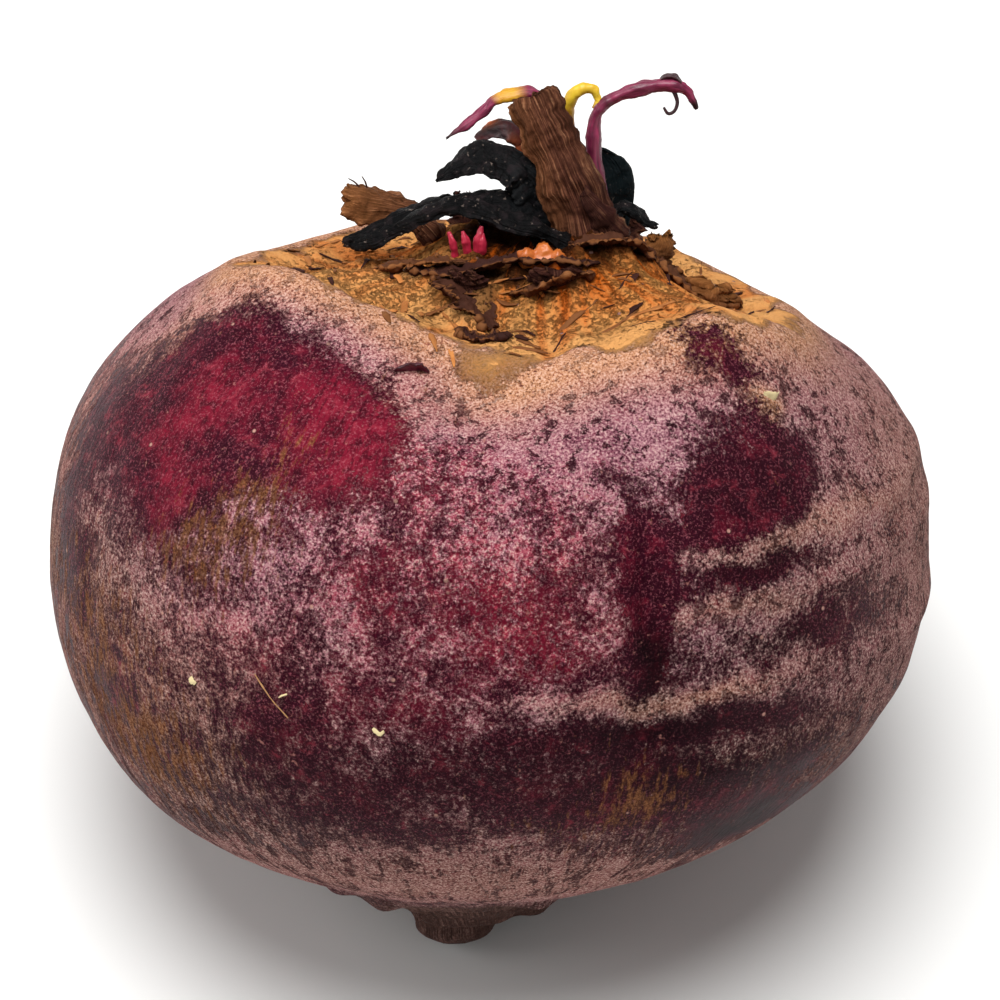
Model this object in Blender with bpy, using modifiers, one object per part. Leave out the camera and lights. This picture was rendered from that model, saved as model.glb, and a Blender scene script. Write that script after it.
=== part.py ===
"""A harvested beetroot with the withered remains of its leaves.

The root is one grown piece: crown, swollen bulb and trimmed tap root. The leaf stalks, leaf
blades, buds and leaf bases on its crown are separate pieces. Everything is modelled with the
root's axis upright, then tipped back as a whole until the root rests on its belly and on the
end of its tap root.

Upright axes: +X to the right, -Y to the front, +Z up to the crown, z = 0 at the widest ring.
"""

import math

import bmesh
import bpy
from mathutils import Matrix, Vector
from mathutils.bvhtree import BVHTree

MM = 0.001

# Driving dimensions of the root.
ROOT_WIDTH = 100 * MM
ROOT_DEPTH = 94 * MM
SHOULDER_HEIGHT = 34.0 * MM
BULB_DROP = 38.0 * MM
TOP_ROUNDNESS = 2.6
BOTTOM_ROUNDNESS = 2.1
TAP_RADIUS = 5.2 * MM
TAP_LENGTH = 9.6 * MM
NECK_RADIUS = 14 * MM
NECK_SHARE = 0.68
TAP_TIP_ROUND = 1.0 * MM
TAP_DRIFT = -4.6 * MM

# How the root rests.
FLAT_DEPTH = 0.9 * MM

# The distance kept between two pieces that touch in the real plant.
TOUCH_GAP = 0.3 * MM

# Mesh fineness.
RINGS_CROWN_TO_NECK = 27
RINGS_NECK = 4
SEGMENTS = 50
SECTION_POINTS = 10
SPINE_STEPS = 4

# Lobes and valleys of the crown, seen from above: (x, y, spread, amount upwards). The mound
# carries the leaves.
MOUND_MIDDLE = (5.5 * MM, -1 * MM)
CROWN_RELIEF = {
    "mound": (*MOUND_MIDDLE, 13 * MM, 4.0 * MM),
    "left_lobe": (-24 * MM, -15 * MM, 11.5 * MM, 6.0 * MM),
    "left_shoulder": (-33 * MM, 2 * MM, 13 * MM, 2.6 * MM),
    "right_lobe": (24 * MM, -21 * MM, 11.5 * MM, 6.0 * MM),
    "right_shoulder": (32 * MM, 14 * MM, 16 * MM, -2.4 * MM),
    "back_left_lobe": (-14 * MM, 25 * MM, 11 * MM, 1.6 * MM),
    "back_right_lobe": (22 * MM, 27 * MM, 10 * MM, 1.6 * MM),
    "back_valley": (5 * MM, 32 * MM, 9 * MM, -2.4 * MM),
    "front_valley": (-1 * MM, -32 * MM, 9 * MM, -2.6 * MM),
    "crown_dish": (-2 * MM, -8 * MM, 24 * MM, -1.6 * MM),
}

# Swells and furrows of the sides: (azimuth, lift, azimuth spread, lift spread, amount).
# Azimuth is in degrees from the front, positive to the right; lift is in degrees above the
# widest ring; the amount is outwards from the root's middle.
SIDE_RELIEF = {
    "front_furrow": (21, -4, 5.5, 17, -1.4 * MM),
    "bulge_by_furrow": (42, -6, 17, 24, 0.8 * MM),
    "back_furrow": (-158, -2, 7, 20, -1.4 * MM),
    "left_belly": (-62, -30, 40, 22, 0.6 * MM),
}

# Lateral root stubs round the tap root: (azimuth, distance from the tap, radius).
SIDE_ROOTS = (
    (-84, 10.0 * MM, 2.3 * MM),
    (-24, 8.5 * MM, 1.6 * MM),
    (78, 9.0 * MM, 2.5 * MM),
    (112, 13.0 * MM, 1.8 * MM),
    (-150, 10.5 * MM, 2.0 * MM),
)

# Cross-sections, as (half width, half thickness, fold). Fold curls the two edges forward.
ROUND = (1.0, 1.0, 0.0)
STRAP = (1.0, 0.34, 0.10)
CHANNEL = (1.0, 0.22, 0.40)
BLADE = (1.0, 0.15, 0.55)
SCALE = (1.0, 0.28, 0.25)


def clear_scene():
    for obj in list(bpy.data.objects):
        bpy.data.objects.remove(obj)


def collection(name):
    made = bpy.data.collections.new(name)
    bpy.context.scene.collection.children.link(made)
    return made


def material(name, colour, roughness):
    made = bpy.data.materials.new(name)
    made.use_nodes = True
    shader = made.node_tree.nodes["Principled BSDF"]
    shader.inputs["Base Color"].default_value = (*colour, 1)
    shader.inputs["Roughness"].default_value = roughness
    shader.inputs["Metallic"].default_value = 0
    return made


def evaluated_mesh(obj):
    graph = bpy.context.evaluated_depsgraph_get()
    return bpy.data.meshes.new_from_object(obj.evaluated_get(graph))


# --- the root ---------------------------------------------------------------------------


def bulb_ring(angle):
    """Radius and height of the bulb at an angle from its top, 0, to its bottom, pi."""
    above = angle < math.pi / 2
    drop = SHOULDER_HEIGHT if above else BULB_DROP
    power = 2 / (TOP_ROUNDNESS if above else BOTTOM_ROUNDNESS)
    height = drop * abs(math.cos(angle)) ** power
    return ROOT_WIDTH / 2 * math.sin(angle) ** power, math.copysign(height, math.cos(angle))


def root_outline():
    """The root's outline as (radius, height), from the crown's middle to the tap root's end."""
    neck_angle = math.pi - math.asin((2 * NECK_RADIUS / ROOT_WIDTH) ** (BOTTOM_ROUNDNESS / 2))
    outline = []
    for ring in range(RINGS_CROWN_TO_NECK + 1):
        outline.append(bulb_ring(neck_angle * ring / RINGS_CROWN_TO_NECK))
    neck_height = outline[-1][1]
    tip_height = -BULB_DROP - TAP_LENGTH
    neck_drop = (neck_height - tip_height) * NECK_SHARE
    for step in range(1, RINGS_NECK + 1):
        turn = math.pi / 2 * step / RINGS_NECK
        radius = TAP_RADIUS + (NECK_RADIUS - TAP_RADIUS) * (1 - math.sin(turn))
        outline.append((radius, neck_height - neck_drop * (1 - math.cos(turn))))
    tip_radius = TAP_RADIUS * 0.92
    outline.append((tip_radius, tip_height + TAP_TIP_ROUND))
    outline.append((tip_radius - TAP_TIP_ROUND, tip_height))
    outline.append((0, tip_height))
    return outline


def side_relief(place):
    """How far the swells and furrows push a point of the root's side outwards."""
    azimuth = math.degrees(math.atan2(place.x, -place.y))
    lift = math.degrees(math.atan2(place.z, math.hypot(place.x, place.y)))
    pushed = 0
    for middle, height, across, along, amount in SIDE_RELIEF.values():
        aside = (azimuth - middle + 180) % 360 - 180
        pushed += amount * math.exp(-((aside / across) ** 2) - ((lift - height) / along) ** 2)
    return pushed


def crown_relief(place):
    """How far the lobes and valleys lift a point of the crown, fading out down the sides."""
    lifted = 0
    for x, y, spread, amount in CROWN_RELIEF.values():
        lifted += amount * math.exp(-((place.x - x) ** 2 + (place.y - y) ** 2) / spread**2)
    return lifted * min(max(place.z / (SHOULDER_HEIGHT * 0.8), 0), 1) ** 1.5


def tap_drift(height):
    """How far the root's axis has strayed to the side below the widest ring."""
    return TAP_DRIFT * (min(height, 0) / (BULB_DROP + TAP_LENGTH)) ** 2


def shape_root(mesh):
    """Turns the lathe-round bulb into the grown shape."""
    for vertex in mesh.vertices:
        place = vertex.co
        if math.hypot(place.x, place.y) > MM:
            place += place.normalized() * side_relief(place)
        place.y *= ROOT_DEPTH / ROOT_WIDTH
        place.z += crown_relief(place)
        place.x += tap_drift(place.z)


def side_root(azimuth, distance, size, root_tree):
    """A broken lateral root: a small blunt cone that stands out of the underside."""
    turn = math.radians(azimuth)
    spot = Vector((math.sin(turn) * distance + TAP_DRIFT, -math.cos(turn) * distance, -ROOT_WIDTH))
    hit, normal, _, _ = root_tree.ray_cast(spot, Vector((0, 0, 1)))
    mesh = bpy.data.meshes.new("side_root")
    build = bmesh.new()
    bmesh.ops.create_cone(
        build, cap_ends=True, segments=9, radius1=size, radius2=size * 0.6, depth=size * 2.8
    )
    build.to_mesh(mesh)
    build.free()
    turned = Vector((0, 0, 1)).rotation_difference(normal).to_matrix().to_4x4()
    mesh.transform(Matrix.Translation(hit) @ turned)
    return mesh


def turned_root(colour):
    """The root's outline turned on a lathe and then shaped."""
    outline = root_outline()
    profile = bpy.data.meshes.new("root_outline")
    profile.from_pydata(
        [(radius, 0, height) for radius, height in outline],
        [(i, i + 1) for i in range(len(outline) - 1)],
        [],
    )
    lathe = bpy.data.objects.new("root_lathe", profile)
    bpy.context.scene.collection.objects.link(lathe)
    screw = lathe.modifiers.new("turn", "SCREW")
    screw.axis = "Z"
    screw.steps = screw.render_steps = SEGMENTS
    screw.use_merge_vertices = True
    screw.merge_threshold = 0.00005
    mesh = evaluated_mesh(lathe)
    bpy.data.objects.remove(lathe)
    shape_root(mesh)
    mesh.materials.clear()
    mesh.materials.append(colour)
    return mesh


def tree_of(mesh):
    build = bmesh.new()
    build.from_mesh(mesh)
    tree = BVHTree.FromBMesh(build)
    build.free()
    return tree


def join_side_roots(root, cutters):
    """Unites the lateral root stubs with the root, because they are the same grown piece."""
    tree = tree_of(root.data)
    for number, stub in enumerate(SIDE_ROOTS, 1):
        helper = bpy.data.objects.new(f"side_root_{number}", side_root(*stub, tree))
        cutters.objects.link(helper)
        helper.hide_render = True
        helper.display_type = "WIRE"
        join = root.modifiers.new(f"side_root_{number}", "BOOLEAN")
        join.operation = "UNION"
        join.object = helper
    bpy.context.view_layer.update()
    united = evaluated_mesh(root)
    root.modifiers.clear()
    root.data = united


def lean_angle(mesh):
    """The lean at which the tap root's end and the belly behind it are equally low."""
    end_height = -BULB_DROP - TAP_LENGTH / 2
    tap = [vertex.co for vertex in mesh.vertices if vertex.co.z < end_height]
    bulb = [vertex.co for vertex in mesh.vertices if vertex.co.z >= end_height]
    least, most = 0, math.pi / 3
    for _ in range(30):
        lean = (least + most) / 2
        down = Matrix.Rotation(lean, 3, "X") @ Vector((0, 0, -1))
        if max(place.dot(down) for place in tap) > max(place.dot(down) for place in bulb):
            least = lean
        else:
            most = lean
    return lean


def press_flat(mesh, lean):
    """Flattens the root where it rests, along the plane that becomes the ground."""
    down = Matrix.Rotation(lean, 3, "X") @ Vector((0, 0, -1))
    lowest = max(v.co.dot(down) for v in mesh.vertices)
    build = bmesh.new()
    build.from_mesh(mesh)
    bmesh.ops.bisect_plane(
        build,
        geom=build.verts[:] + build.edges[:] + build.faces[:],
        plane_co=down * (lowest - FLAT_DEPTH),
        plane_no=down,
        clear_outer=True,
    )
    rim = [edge for edge in build.edges if edge.is_boundary]
    bmesh.ops.holes_fill(build, edges=rim, sides=0)
    bmesh.ops.recalc_face_normals(build, faces=build.faces)
    build.to_mesh(mesh)
    build.free()


# --- the leaf remains --------------------------------------------------------------------


def section_curve(name, section, helpers):
    """A closed cross-section: an ellipse whose two edges curl forward by the fold."""
    half_width, half_thickness, fold = section
    curve = bpy.data.curves.new(name, "CURVE")
    curve.dimensions = "2D"
    spline = curve.splines.new("POLY")
    spline.points.add(SECTION_POINTS - 1)
    spline.use_cyclic_u = True
    for i, point in enumerate(spline.points):
        turn = 2 * math.pi * i / SECTION_POINTS
        across = half_width * math.cos(turn)
        through = half_thickness * math.sin(turn) + fold * (across * across - 0.5)
        point.co = (across, through, 0, 1)
    made = bpy.data.objects.new(name, curve)
    helpers.objects.link(made)
    made.hide_render = True
    return made


def smooth_path(points, steps):
    """A smooth line through the points, as (position, share of the way) pairs."""
    ends = [points[0] * 2 - points[1], *points, points[-1] * 2 - points[-2]]
    line = []
    for i in range(1, len(ends) - 2):
        before, start, stop, after = ends[i - 1 : i + 3]
        for step in range(steps):
            t = step / steps
            line.append(
                0.5
                * (
                    2 * start
                    + (stop - before) * t
                    + (2 * before - 5 * start + 4 * stop - after) * t**2
                    + (3 * start - before - 3 * stop + after) * t**3
                )
            )
    return [*line, points[-1].copy()]


def swept(name, spine, widths, section, tilt, colour, home):
    """A stalk or blade: a cross-section drawn along a spine, as wide as widths says.

    Spine points are in mm with the root upright, widths are half widths in mm, and tilt turns
    the cross-section about the spine, in degrees.
    """
    places = smooth_path([Vector(point) * MM for point in spine], SPINE_STEPS)
    sizes = smooth_path([Vector((width * MM, 0, 0)) for width in widths], SPINE_STEPS)
    curve = bpy.data.curves.new(name, "CURVE")
    curve.dimensions = "3D"
    curve.twist_mode = "Z_UP"
    curve.bevel_mode = "OBJECT"
    curve.bevel_object = section
    curve.use_fill_caps = True
    path = curve.splines.new("POLY")
    path.points.add(len(places) - 1)
    for point, place, size in zip(path.points, places, sizes):
        point.co = (*place, 1)
        point.radius = size.x
        point.tilt = math.radians(tilt)
    drawn = bpy.data.objects.new(name + "_path", curve)
    bpy.context.scene.collection.objects.link(drawn)
    mesh = evaluated_mesh(drawn)
    bpy.data.objects.remove(drawn)
    build = bmesh.new()
    build.from_mesh(mesh)
    bmesh.ops.remove_doubles(build, verts=build.verts, dist=0.00001)
    bmesh.ops.recalc_face_normals(build, faces=build.faces)
    build.to_mesh(mesh)
    build.free()
    mesh.shade_smooth()
    mesh.materials.clear()
    mesh.materials.append(colour)
    made = bpy.data.objects.new(name, mesh)
    home.objects.link(made)
    return made


def trim_to_crown(piece, cutter):
    """Cuts the piece's foot to the crown's surface, a touch gap above it."""
    trim = piece.modifiers.new("seat_on_crown", "BOOLEAN")
    trim.operation = "DIFFERENCE"
    trim.object = cutter


def crown_height(x, y, tree):
    """Height of the crown's surface at a spot, in mm."""
    hit, _, _, _ = tree.ray_cast(Vector((x * MM, y * MM, ROOT_WIDTH)), Vector((0, 0, -1)))
    return hit.z / MM


# Each leaf remain: spine as (x, y, height over the crown at its foot), half widths, section
# name, tilt, colour name. The spine's first point lies inside the crown and is trimmed off.
LEAF_REMAINS = {
    "brown_stalk": (
        ((13.0, -3.0, -2.5), (11.4, -3.9, 4.0), (8.8, -4.1, 9.6), (6.4, -3.9, 14.0), (4.6, -3.4, 17.0)),
        (4.4, 4.0, 3.6, 3.4, 2.9), "channel", 90, "dry_stalk",
    ),
    "red_stalk_left": (
        ((7.2, 3.4, -2.0), (6.6, 2.8, 8.0), (5.6, 1.6, 14.4), (3.4, 0.9, 16.3), (0.6, 0.2, 15.5),
         (-2.2, -0.6, 13.6), (-4.6, -1.2, 12.0)),
        (1.3, 1.1, 1.0, 1.2, 1.1, 0.75, 0.4), "round", 0, "fresh_red",
    ),
    "yellow_shoot": (
        ((10.6, 5.0, -2.0), (9.8, 3.8, 8.0), (8.9, 2.7, 13.4), (9.8, 2.0, 16.0), (11.2, 1.8, 16.8),
         (12.2, 1.8, 16.0)),
        (0.8, 0.75, 0.7, 0.7, 0.65, 0.35), "round", 0, "fresh_yellow",
    ),
    "red_stalk_right": (
        ((13.6, 1.8, -2.0), (12.6, 1.0, 5.0), (12.1, 0.2, 10.4), (12.4, 0.0, 13.8), (14.4, 0.0, 15.8),
         (17.2, 0.0, 16.8), (20.0, 0.0, 16.9), (21.8, 0.0, 16.2), (22.5, 0.0, 14.8)),
        (1.5, 1.5, 1.3, 1.0, 0.8, 1.1, 1.0, 0.6, 0.35), "round", 0, "fresh_red",
    ),
    "small_dark_leaf": (
        ((4.0, 5.6, -2.0), (4.0, 4.8, 6.0), (2.8, 4.2, 9.8), (0.6, 3.8, 11.8), (-1.6, 3.4, 11.2)),
        (1.2, 1.2, 1.5, 1.6, 0.4), "blade", 90, "withered_red",
    ),
    "black_leaf_left": (
        ((4.6, 0.2, -2.0), (2.6, -0.2, 3.4), (0.0, -0.5, 6.2), (-2.8, -0.8, 6.8), (-5.4, -1.0, 5.6)),
        (2.6, 3.4, 3.4, 2.4, 0.6), "blade", 100, "withered_black",
    ),
    "black_strap_low": (
        ((6.2, -4.8, -1.5), (2.2, -5.2, 2.2), (-2.6, -5.0, 3.8), (-5.8, -4.4, 3.4), (-9.2, -3.6, 2.0),
         (-12.2, -2.8, 1.2), (-15.2, -2.0, 0.8)),
        (1.3, 1.2, 1.2, 1.15, 1.2, 1.0, 0.6), "strap", 60, "withered_black",
    ),
    "black_strap_high": (
        ((-1.2, 3.6, -1.5), (-3.4, 3.2, 4.0), (-6.6, 2.8, 4.8), (-9.4, 2.4, 3.6), (-12.6, 2.0, 1.8)),
        (1.2, 1.2, 1.2, 1.0, 0.6), "strap", 60, "withered_black",
    ),
    "black_leaf_right": (
        ((14.4, 7.0, -2.0), (14.9, 6.2, 3.0), (14.7, 5.4, 6.4), (13.7, 4.8, 9.2)),
        (2.6, 3.0, 2.6, 0.9), "blade", 90, "withered_black",
    ),
    "dark_stub_right": (
        ((16.8, 3.4, -2.0), (17.9, 2.9, 1.4), (19.3, 2.4, 1.9), (20.9, 1.8, 1.3)),
        (1.4, 1.3, 1.1, 0.7), "strap", 40, "withered_black",
    ),
    "brown_stub_left": (
        ((-4.0, 7.0, -1.5), (-7.4, 6.4, 2.8), (-11.0, 5.8, 4.2), (-14.4, 5.4, 4.6)),
        (2.0, 2.3, 2.8, 2.6), "channel", 80, "dry_stalk",
    ),
}

# Broken leaf bases round the mound: (azimuth about its middle, distance, half width, height).
LEAF_BASES = {
    "leaf_base_right": (84, 13.6 * MM, 1.6 * MM, 2.6 * MM),
    "leaf_base_far_right": (80, 18.6 * MM, 3.0 * MM, 1.8 * MM),
    "leaf_base_front": (-36, 12.5 * MM, 3.2 * MM, 1.6 * MM),
    "leaf_base_front_right": (8, 11.5 * MM, 3.4 * MM, 1.8 * MM),
    "leaf_base_back": (176, 12.0 * MM, 3.6 * MM, 4.2 * MM),
    "leaf_base_back_left": (-150, 14.5 * MM, 3.0 * MM, 3.4 * MM),
    "leaf_base_back_right": (142, 14.0 * MM, 3.3 * MM, 3.2 * MM),
}

# Fresh bud tips that show between the leaf bases: (x, y, radius, height over the crown).
BUDS = {
    "red_bud": (-2.4, -6.4, 1.25 * MM, 1.5 * MM, "fresh_red"),
    "orange_bud": (6.6, -8.6, 1.35 * MM, 1.0 * MM, "bud_orange"),
}


def leaf_remain(name, design, tree, sections, colours, home):
    spine, widths, section, tilt, colour = design
    foot_x, foot_y, _ = spine[0]
    ground = crown_height(foot_x, foot_y, tree)
    placed = [(x, y, ground + over) for x, y, over in spine]
    return swept(name, placed, widths, sections[section], tilt, colours[colour], home)


def leaf_base(name, design, tree, sections, colours, home):
    """A papery stump that stands on the crown and leans away from its middle."""
    azimuth, distance, half_width, height = design
    way = math.radians(azimuth)
    x = (MOUND_MIDDLE[0] + math.sin(way) * distance) / MM
    y = (MOUND_MIDDLE[1] - math.cos(way) * distance) / MM
    ground = crown_height(x, y, tree)
    tall = height / MM
    out_x, out_y = math.sin(way) * tall * 0.25, -math.cos(way) * tall * 0.25
    spine = (
        (x - out_x, y - out_y, ground - 2.2),
        (x, y, ground + tall * 0.1),
        (x + out_x, y + out_y, ground + tall * 0.6),
        (x + out_x * 1.6, y + out_y * 1.6, ground + tall),
    )
    wide = half_width / MM
    widths = (wide * 1.05, wide, wide * 0.92, wide * 0.7)
    return swept(name, spine, widths, sections["scale"], 0, colours["dry_stalk"], home)


def bud(name, design, tree, colours, home):
    """A short rounded bud tip that stands up out of the crown."""
    x, y, radius, height, colour = design
    ground = crown_height(x, y, tree) * MM
    mesh = bpy.data.meshes.new(name)
    build = bmesh.new()
    bmesh.ops.create_uvsphere(build, u_segments=10, v_segments=7, radius=radius)
    for vertex in build.verts:
        vertex.co.z *= height / radius
    build.to_mesh(mesh)
    build.free()
    mesh.transform(Matrix.Translation((x * MM, y * MM, ground + height * 0.35)))
    mesh.shade_smooth()
    mesh.materials.append(colours[colour])
    made = bpy.data.objects.new(name, mesh)
    home.objects.link(made)
    return made


# --- assembly ----------------------------------------------------------------------------


def crown_cutter(mesh, cutters):
    """The root's shape grown by the touch gap, for trimming the pieces that stand on it."""
    grown = mesh.copy()
    normals = [vertex.normal.copy() for vertex in grown.vertices]
    for vertex, normal in zip(grown.vertices, normals):
        vertex.co += normal * TOUCH_GAP
    cutter = bpy.data.objects.new("crown_cutter", grown)
    cutters.objects.link(cutter)
    cutter.hide_render = True
    cutter.display_type = "WIRE"
    return cutter


def tip_back(pieces, root, lean):
    """Leans every piece back together, with the root's flats on the ground at z = 0."""
    turned = Matrix.Rotation(-lean, 4, "X")
    corners = [turned @ vertex.co for vertex in root.data.vertices]
    low = Vector([min(place[axis] for place in corners) for axis in range(3)])
    high = Vector([max(place[axis] for place in corners) for axis in range(3)])
    rest = bpy.data.objects.new("resting_pose", None)
    bpy.context.scene.collection.objects.link(rest)
    rest.rotation_euler.x = -lean
    rest.location = (-(low.x + high.x) / 2, -(low.y + high.y) / 2, -low.z)
    for piece in pieces:
        piece.parent = rest


def main():
    clear_scene()
    home = collection("beetroot")
    cutters = collection("cutters")
    colours = {
        "root_skin": material("root_skin", (0.15, 0.035, 0.045), 0.6),
        "dry_stalk": material("dry_stalk", (0.12, 0.06, 0.035), 0.8),
        "fresh_red": material("fresh_red", (0.25, 0.02, 0.06), 0.45),
        "fresh_yellow": material("fresh_yellow", (0.6, 0.42, 0.03), 0.5),
        "withered_red": material("withered_red", (0.09, 0.02, 0.02), 0.6),
        "withered_black": material("withered_black", (0.012, 0.012, 0.016), 0.55),
        "bud_orange": material("bud_orange", (0.5, 0.16, 0.03), 0.5),
    }
    sections = {
        name: section_curve("section_" + name, section, cutters)
        for name, section in (
            ("round", ROUND), ("strap", STRAP), ("channel", CHANNEL), ("blade", BLADE), ("scale", SCALE)
        )
    }
    mesh = turned_root(colours["root_skin"])
    root = bpy.data.objects.new("root", mesh)
    home.objects.link(root)
    cutter = crown_cutter(mesh, cutters)
    tree = tree_of(mesh)
    join_side_roots(root, cutters)
    lean = lean_angle(root.data)
    press_flat(root.data, lean)
    root.data.shade_smooth()
    grown = [
        *(leaf_remain(name, design, tree, sections, colours, home) for name, design in LEAF_REMAINS.items()),
        *(leaf_base(name, design, tree, sections, colours, home) for name, design in LEAF_BASES.items()),
        *(bud(name, design, tree, colours, home) for name, design in BUDS.items()),
    ]
    for piece in grown:
        trim_to_crown(piece, cutter)
    tip_back([root, cutter, *grown], root, lean)


main()
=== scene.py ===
import math

import bmesh
import bpy
import numpy as np
from mathutils import Matrix, Vector, noise
from mathutils.bvhtree import BVHTree


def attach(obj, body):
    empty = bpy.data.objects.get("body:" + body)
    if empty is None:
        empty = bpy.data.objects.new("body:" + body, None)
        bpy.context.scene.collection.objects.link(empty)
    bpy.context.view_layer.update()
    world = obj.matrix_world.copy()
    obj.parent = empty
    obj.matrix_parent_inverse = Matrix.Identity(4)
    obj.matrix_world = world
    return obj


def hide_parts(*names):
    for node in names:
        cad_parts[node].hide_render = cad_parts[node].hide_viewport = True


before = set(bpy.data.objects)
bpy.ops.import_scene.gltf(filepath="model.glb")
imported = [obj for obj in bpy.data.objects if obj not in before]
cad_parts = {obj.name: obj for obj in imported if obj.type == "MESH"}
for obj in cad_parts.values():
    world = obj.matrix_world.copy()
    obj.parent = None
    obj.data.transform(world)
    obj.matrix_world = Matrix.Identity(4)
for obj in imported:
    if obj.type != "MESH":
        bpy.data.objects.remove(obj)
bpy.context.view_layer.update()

MM = 0.001

# ---------------------------------------------------------------------------------------
# The root: one grown piece of flesh in a thin skin. It is worked here with its axis
# upright and z = 0 at its widest ring, the way it grew, and laid back at the end to rest
# on its belly and its tap root.

LEAN = math.radians(33.62)
WIDEST_RING = Vector((0.04, -0.49, 40.7)) * MM
LAID_BACK = Matrix.Translation(WIDEST_RING) @ Matrix.Rotation(-LEAN, 4, "X")

# The middle of the leaf mound, and the crown's rim round it: distance from the mound's
# middle at each azimuth, in mm and degrees. Azimuth 0 is the front, positive to the right.
MOUND = (5.5, -1.0)
RIM = {-180: 25, -130: 27, -100: 31, -75: 33, -60: 29, -45: 24.5, -25: 23, -8: 24, 8: 25, 25: 27,
       40: 28.5, 60: 29, 90: 26, 130: 25, 180: 25}

# Width of the skin's quads: fine enough for its relief, and under 200,000 triangles in all.
SKIN_GRAIN = 0.65 * MM
VOXEL_STEPS = 11  # rounds of smoothing that take out the steps the remesh leaves


def merged_copy(cad_node):
    """The CAD node's mesh with its loose triangles joined up again."""
    build = bmesh.new()
    build.from_mesh(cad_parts[cad_node].data)
    bmesh.ops.remove_doubles(build, verts=build.verts, dist=0.002 * MM)
    bmesh.ops.join_triangles(
        build, faces=build.faces, angle_face_threshold=0.7, angle_shape_threshold=1.2
    )
    mesh = bpy.data.meshes.new(cad_node)
    build.to_mesh(mesh)
    build.free()
    return mesh


def piece_of(name, mesh, material, cad_node):
    """A finished piece that stands for a CAD node and rides on the root."""
    piece = bpy.data.objects.new(name, mesh)
    bpy.context.scene.collection.objects.link(piece)
    mesh.materials.clear()
    mesh.materials.append(material)
    mesh.shade_smooth()
    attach(piece, "root")
    if cad_node:
        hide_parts(cad_node)


def baked(piece):
    """Turns the piece's modifiers into its mesh."""
    graph = bpy.context.evaluated_depsgraph_get()
    mesh = bpy.data.meshes.new_from_object(piece.evaluated_get(graph))
    piece.modifiers.clear()
    piece.data = mesh
    return mesh


def fine_root():
    """The root's CAD shape as an even skin of small quads."""
    piece = bpy.data.objects.new("root_blank", merged_copy("root"))
    bpy.context.scene.collection.objects.link(piece)
    round_off = piece.modifiers.new("round_off", "SUBSURF")
    round_off.levels = round_off.render_levels = 2
    even = piece.modifiers.new("even", "REMESH")
    even.mode = "VOXEL"
    even.voxel_size = SKIN_GRAIN
    mesh = baked(piece)
    bpy.data.objects.remove(piece)
    mesh.transform(LAID_BACK.inverted())
    return mesh


def smoothed(mesh, rounds):
    build = bmesh.new()
    build.from_mesh(mesh)
    for _ in range(rounds):
        bmesh.ops.smooth_vert(
            build, verts=build.verts, factor=0.5, use_axis_x=True, use_axis_y=True, use_axis_z=True
        )
    build.to_mesh(mesh)
    build.free()


def rough(points, size, octaves=3, seed=0.0):
    """Even noise from -1 to 1 over points in mm, with lumps about as wide as size."""
    step = Vector((seed, seed * 1.7, seed * 0.6))
    return np.array([noise.fractal(Vector(p) / size + step, 0.9, 2.1, octaves) for p in points])


def gaussian(x):
    return np.exp(-(x**2))


def ramp(x, low, high):
    """0 below low, 1 above high, and a smooth step between."""
    share = np.clip((x - low) / (high - low), 0, 1)
    return share * share * (3 - 2 * share)


def polar_of(points):
    """Azimuth and lift of each point, in degrees."""
    azimuth = np.degrees(np.arctan2(points[:, 0], -points[:, 1]))
    lift = np.degrees(np.arctan2(points[:, 2], np.hypot(points[:, 0], points[:, 1])))
    return azimuth, lift


def marks(azimuth, lift, spots):
    """The sum of soft spots, each (azimuth, lift, azimuth spread, lift spread, amount)."""
    total = np.zeros(len(azimuth))
    for middle, height, across, along, amount in spots:
        aside = (azimuth - middle + 180) % 360 - 180
        total += amount * gaussian(np.hypot(aside / across, (lift - height) / along))
    return total


def mound_polar(points):
    """Azimuth about the leaf mound, distance from it, and how far that is past the rim."""
    across, ahead = points[:, 0] - MOUND[0], points[:, 1] - MOUND[1]
    azimuth = np.degrees(np.arctan2(across, -ahead))
    distance = np.hypot(across, ahead)
    past_rim = distance - np.interp(azimuth, list(RIM), list(RIM.values()))
    on_top = points[:, 2] > 5
    return azimuth, np.where(on_top, distance, 60), np.where(on_top, past_rim, 30)


def outward(mesh):
    normals = np.empty(len(mesh.vertices) * 3)
    mesh.vertex_normals.foreach_get("vector", normals)
    return normals.reshape(-1, 3)


root_mesh = fine_root()
smoothed(root_mesh, VOXEL_STEPS)
places = np.empty(len(root_mesh.vertices) * 3)
root_mesh.vertices.foreach_get("co", places)
places = places.reshape(-1, 3) / MM
azimuth, lift = polar_of(places)
mound_azimuth, mound_distance, past_rim = mound_polar(places)

lumps = rough(places, 22, 2, 3.0)
ripples = rough(places, 7, 3, 5.0)
pits = rough(places, 2.6, 3, 9.0)

# The corky crown: fibrous ridges that run out from the mound, and crescent leaf scars.
turn = np.radians(mound_azimuth)
fibre_space = np.stack([np.cos(turn) * 6, np.sin(turn) * 6, mound_distance / 9], axis=1)
fibres = rough(fibre_space, 1.0, 4, 2.0)
crown = ramp(past_rim + 2.5 * rough(places, 5, 3, 11.0), 2.5, -2.5)
mound_core = ramp(mound_distance, 15, 7)

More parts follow.
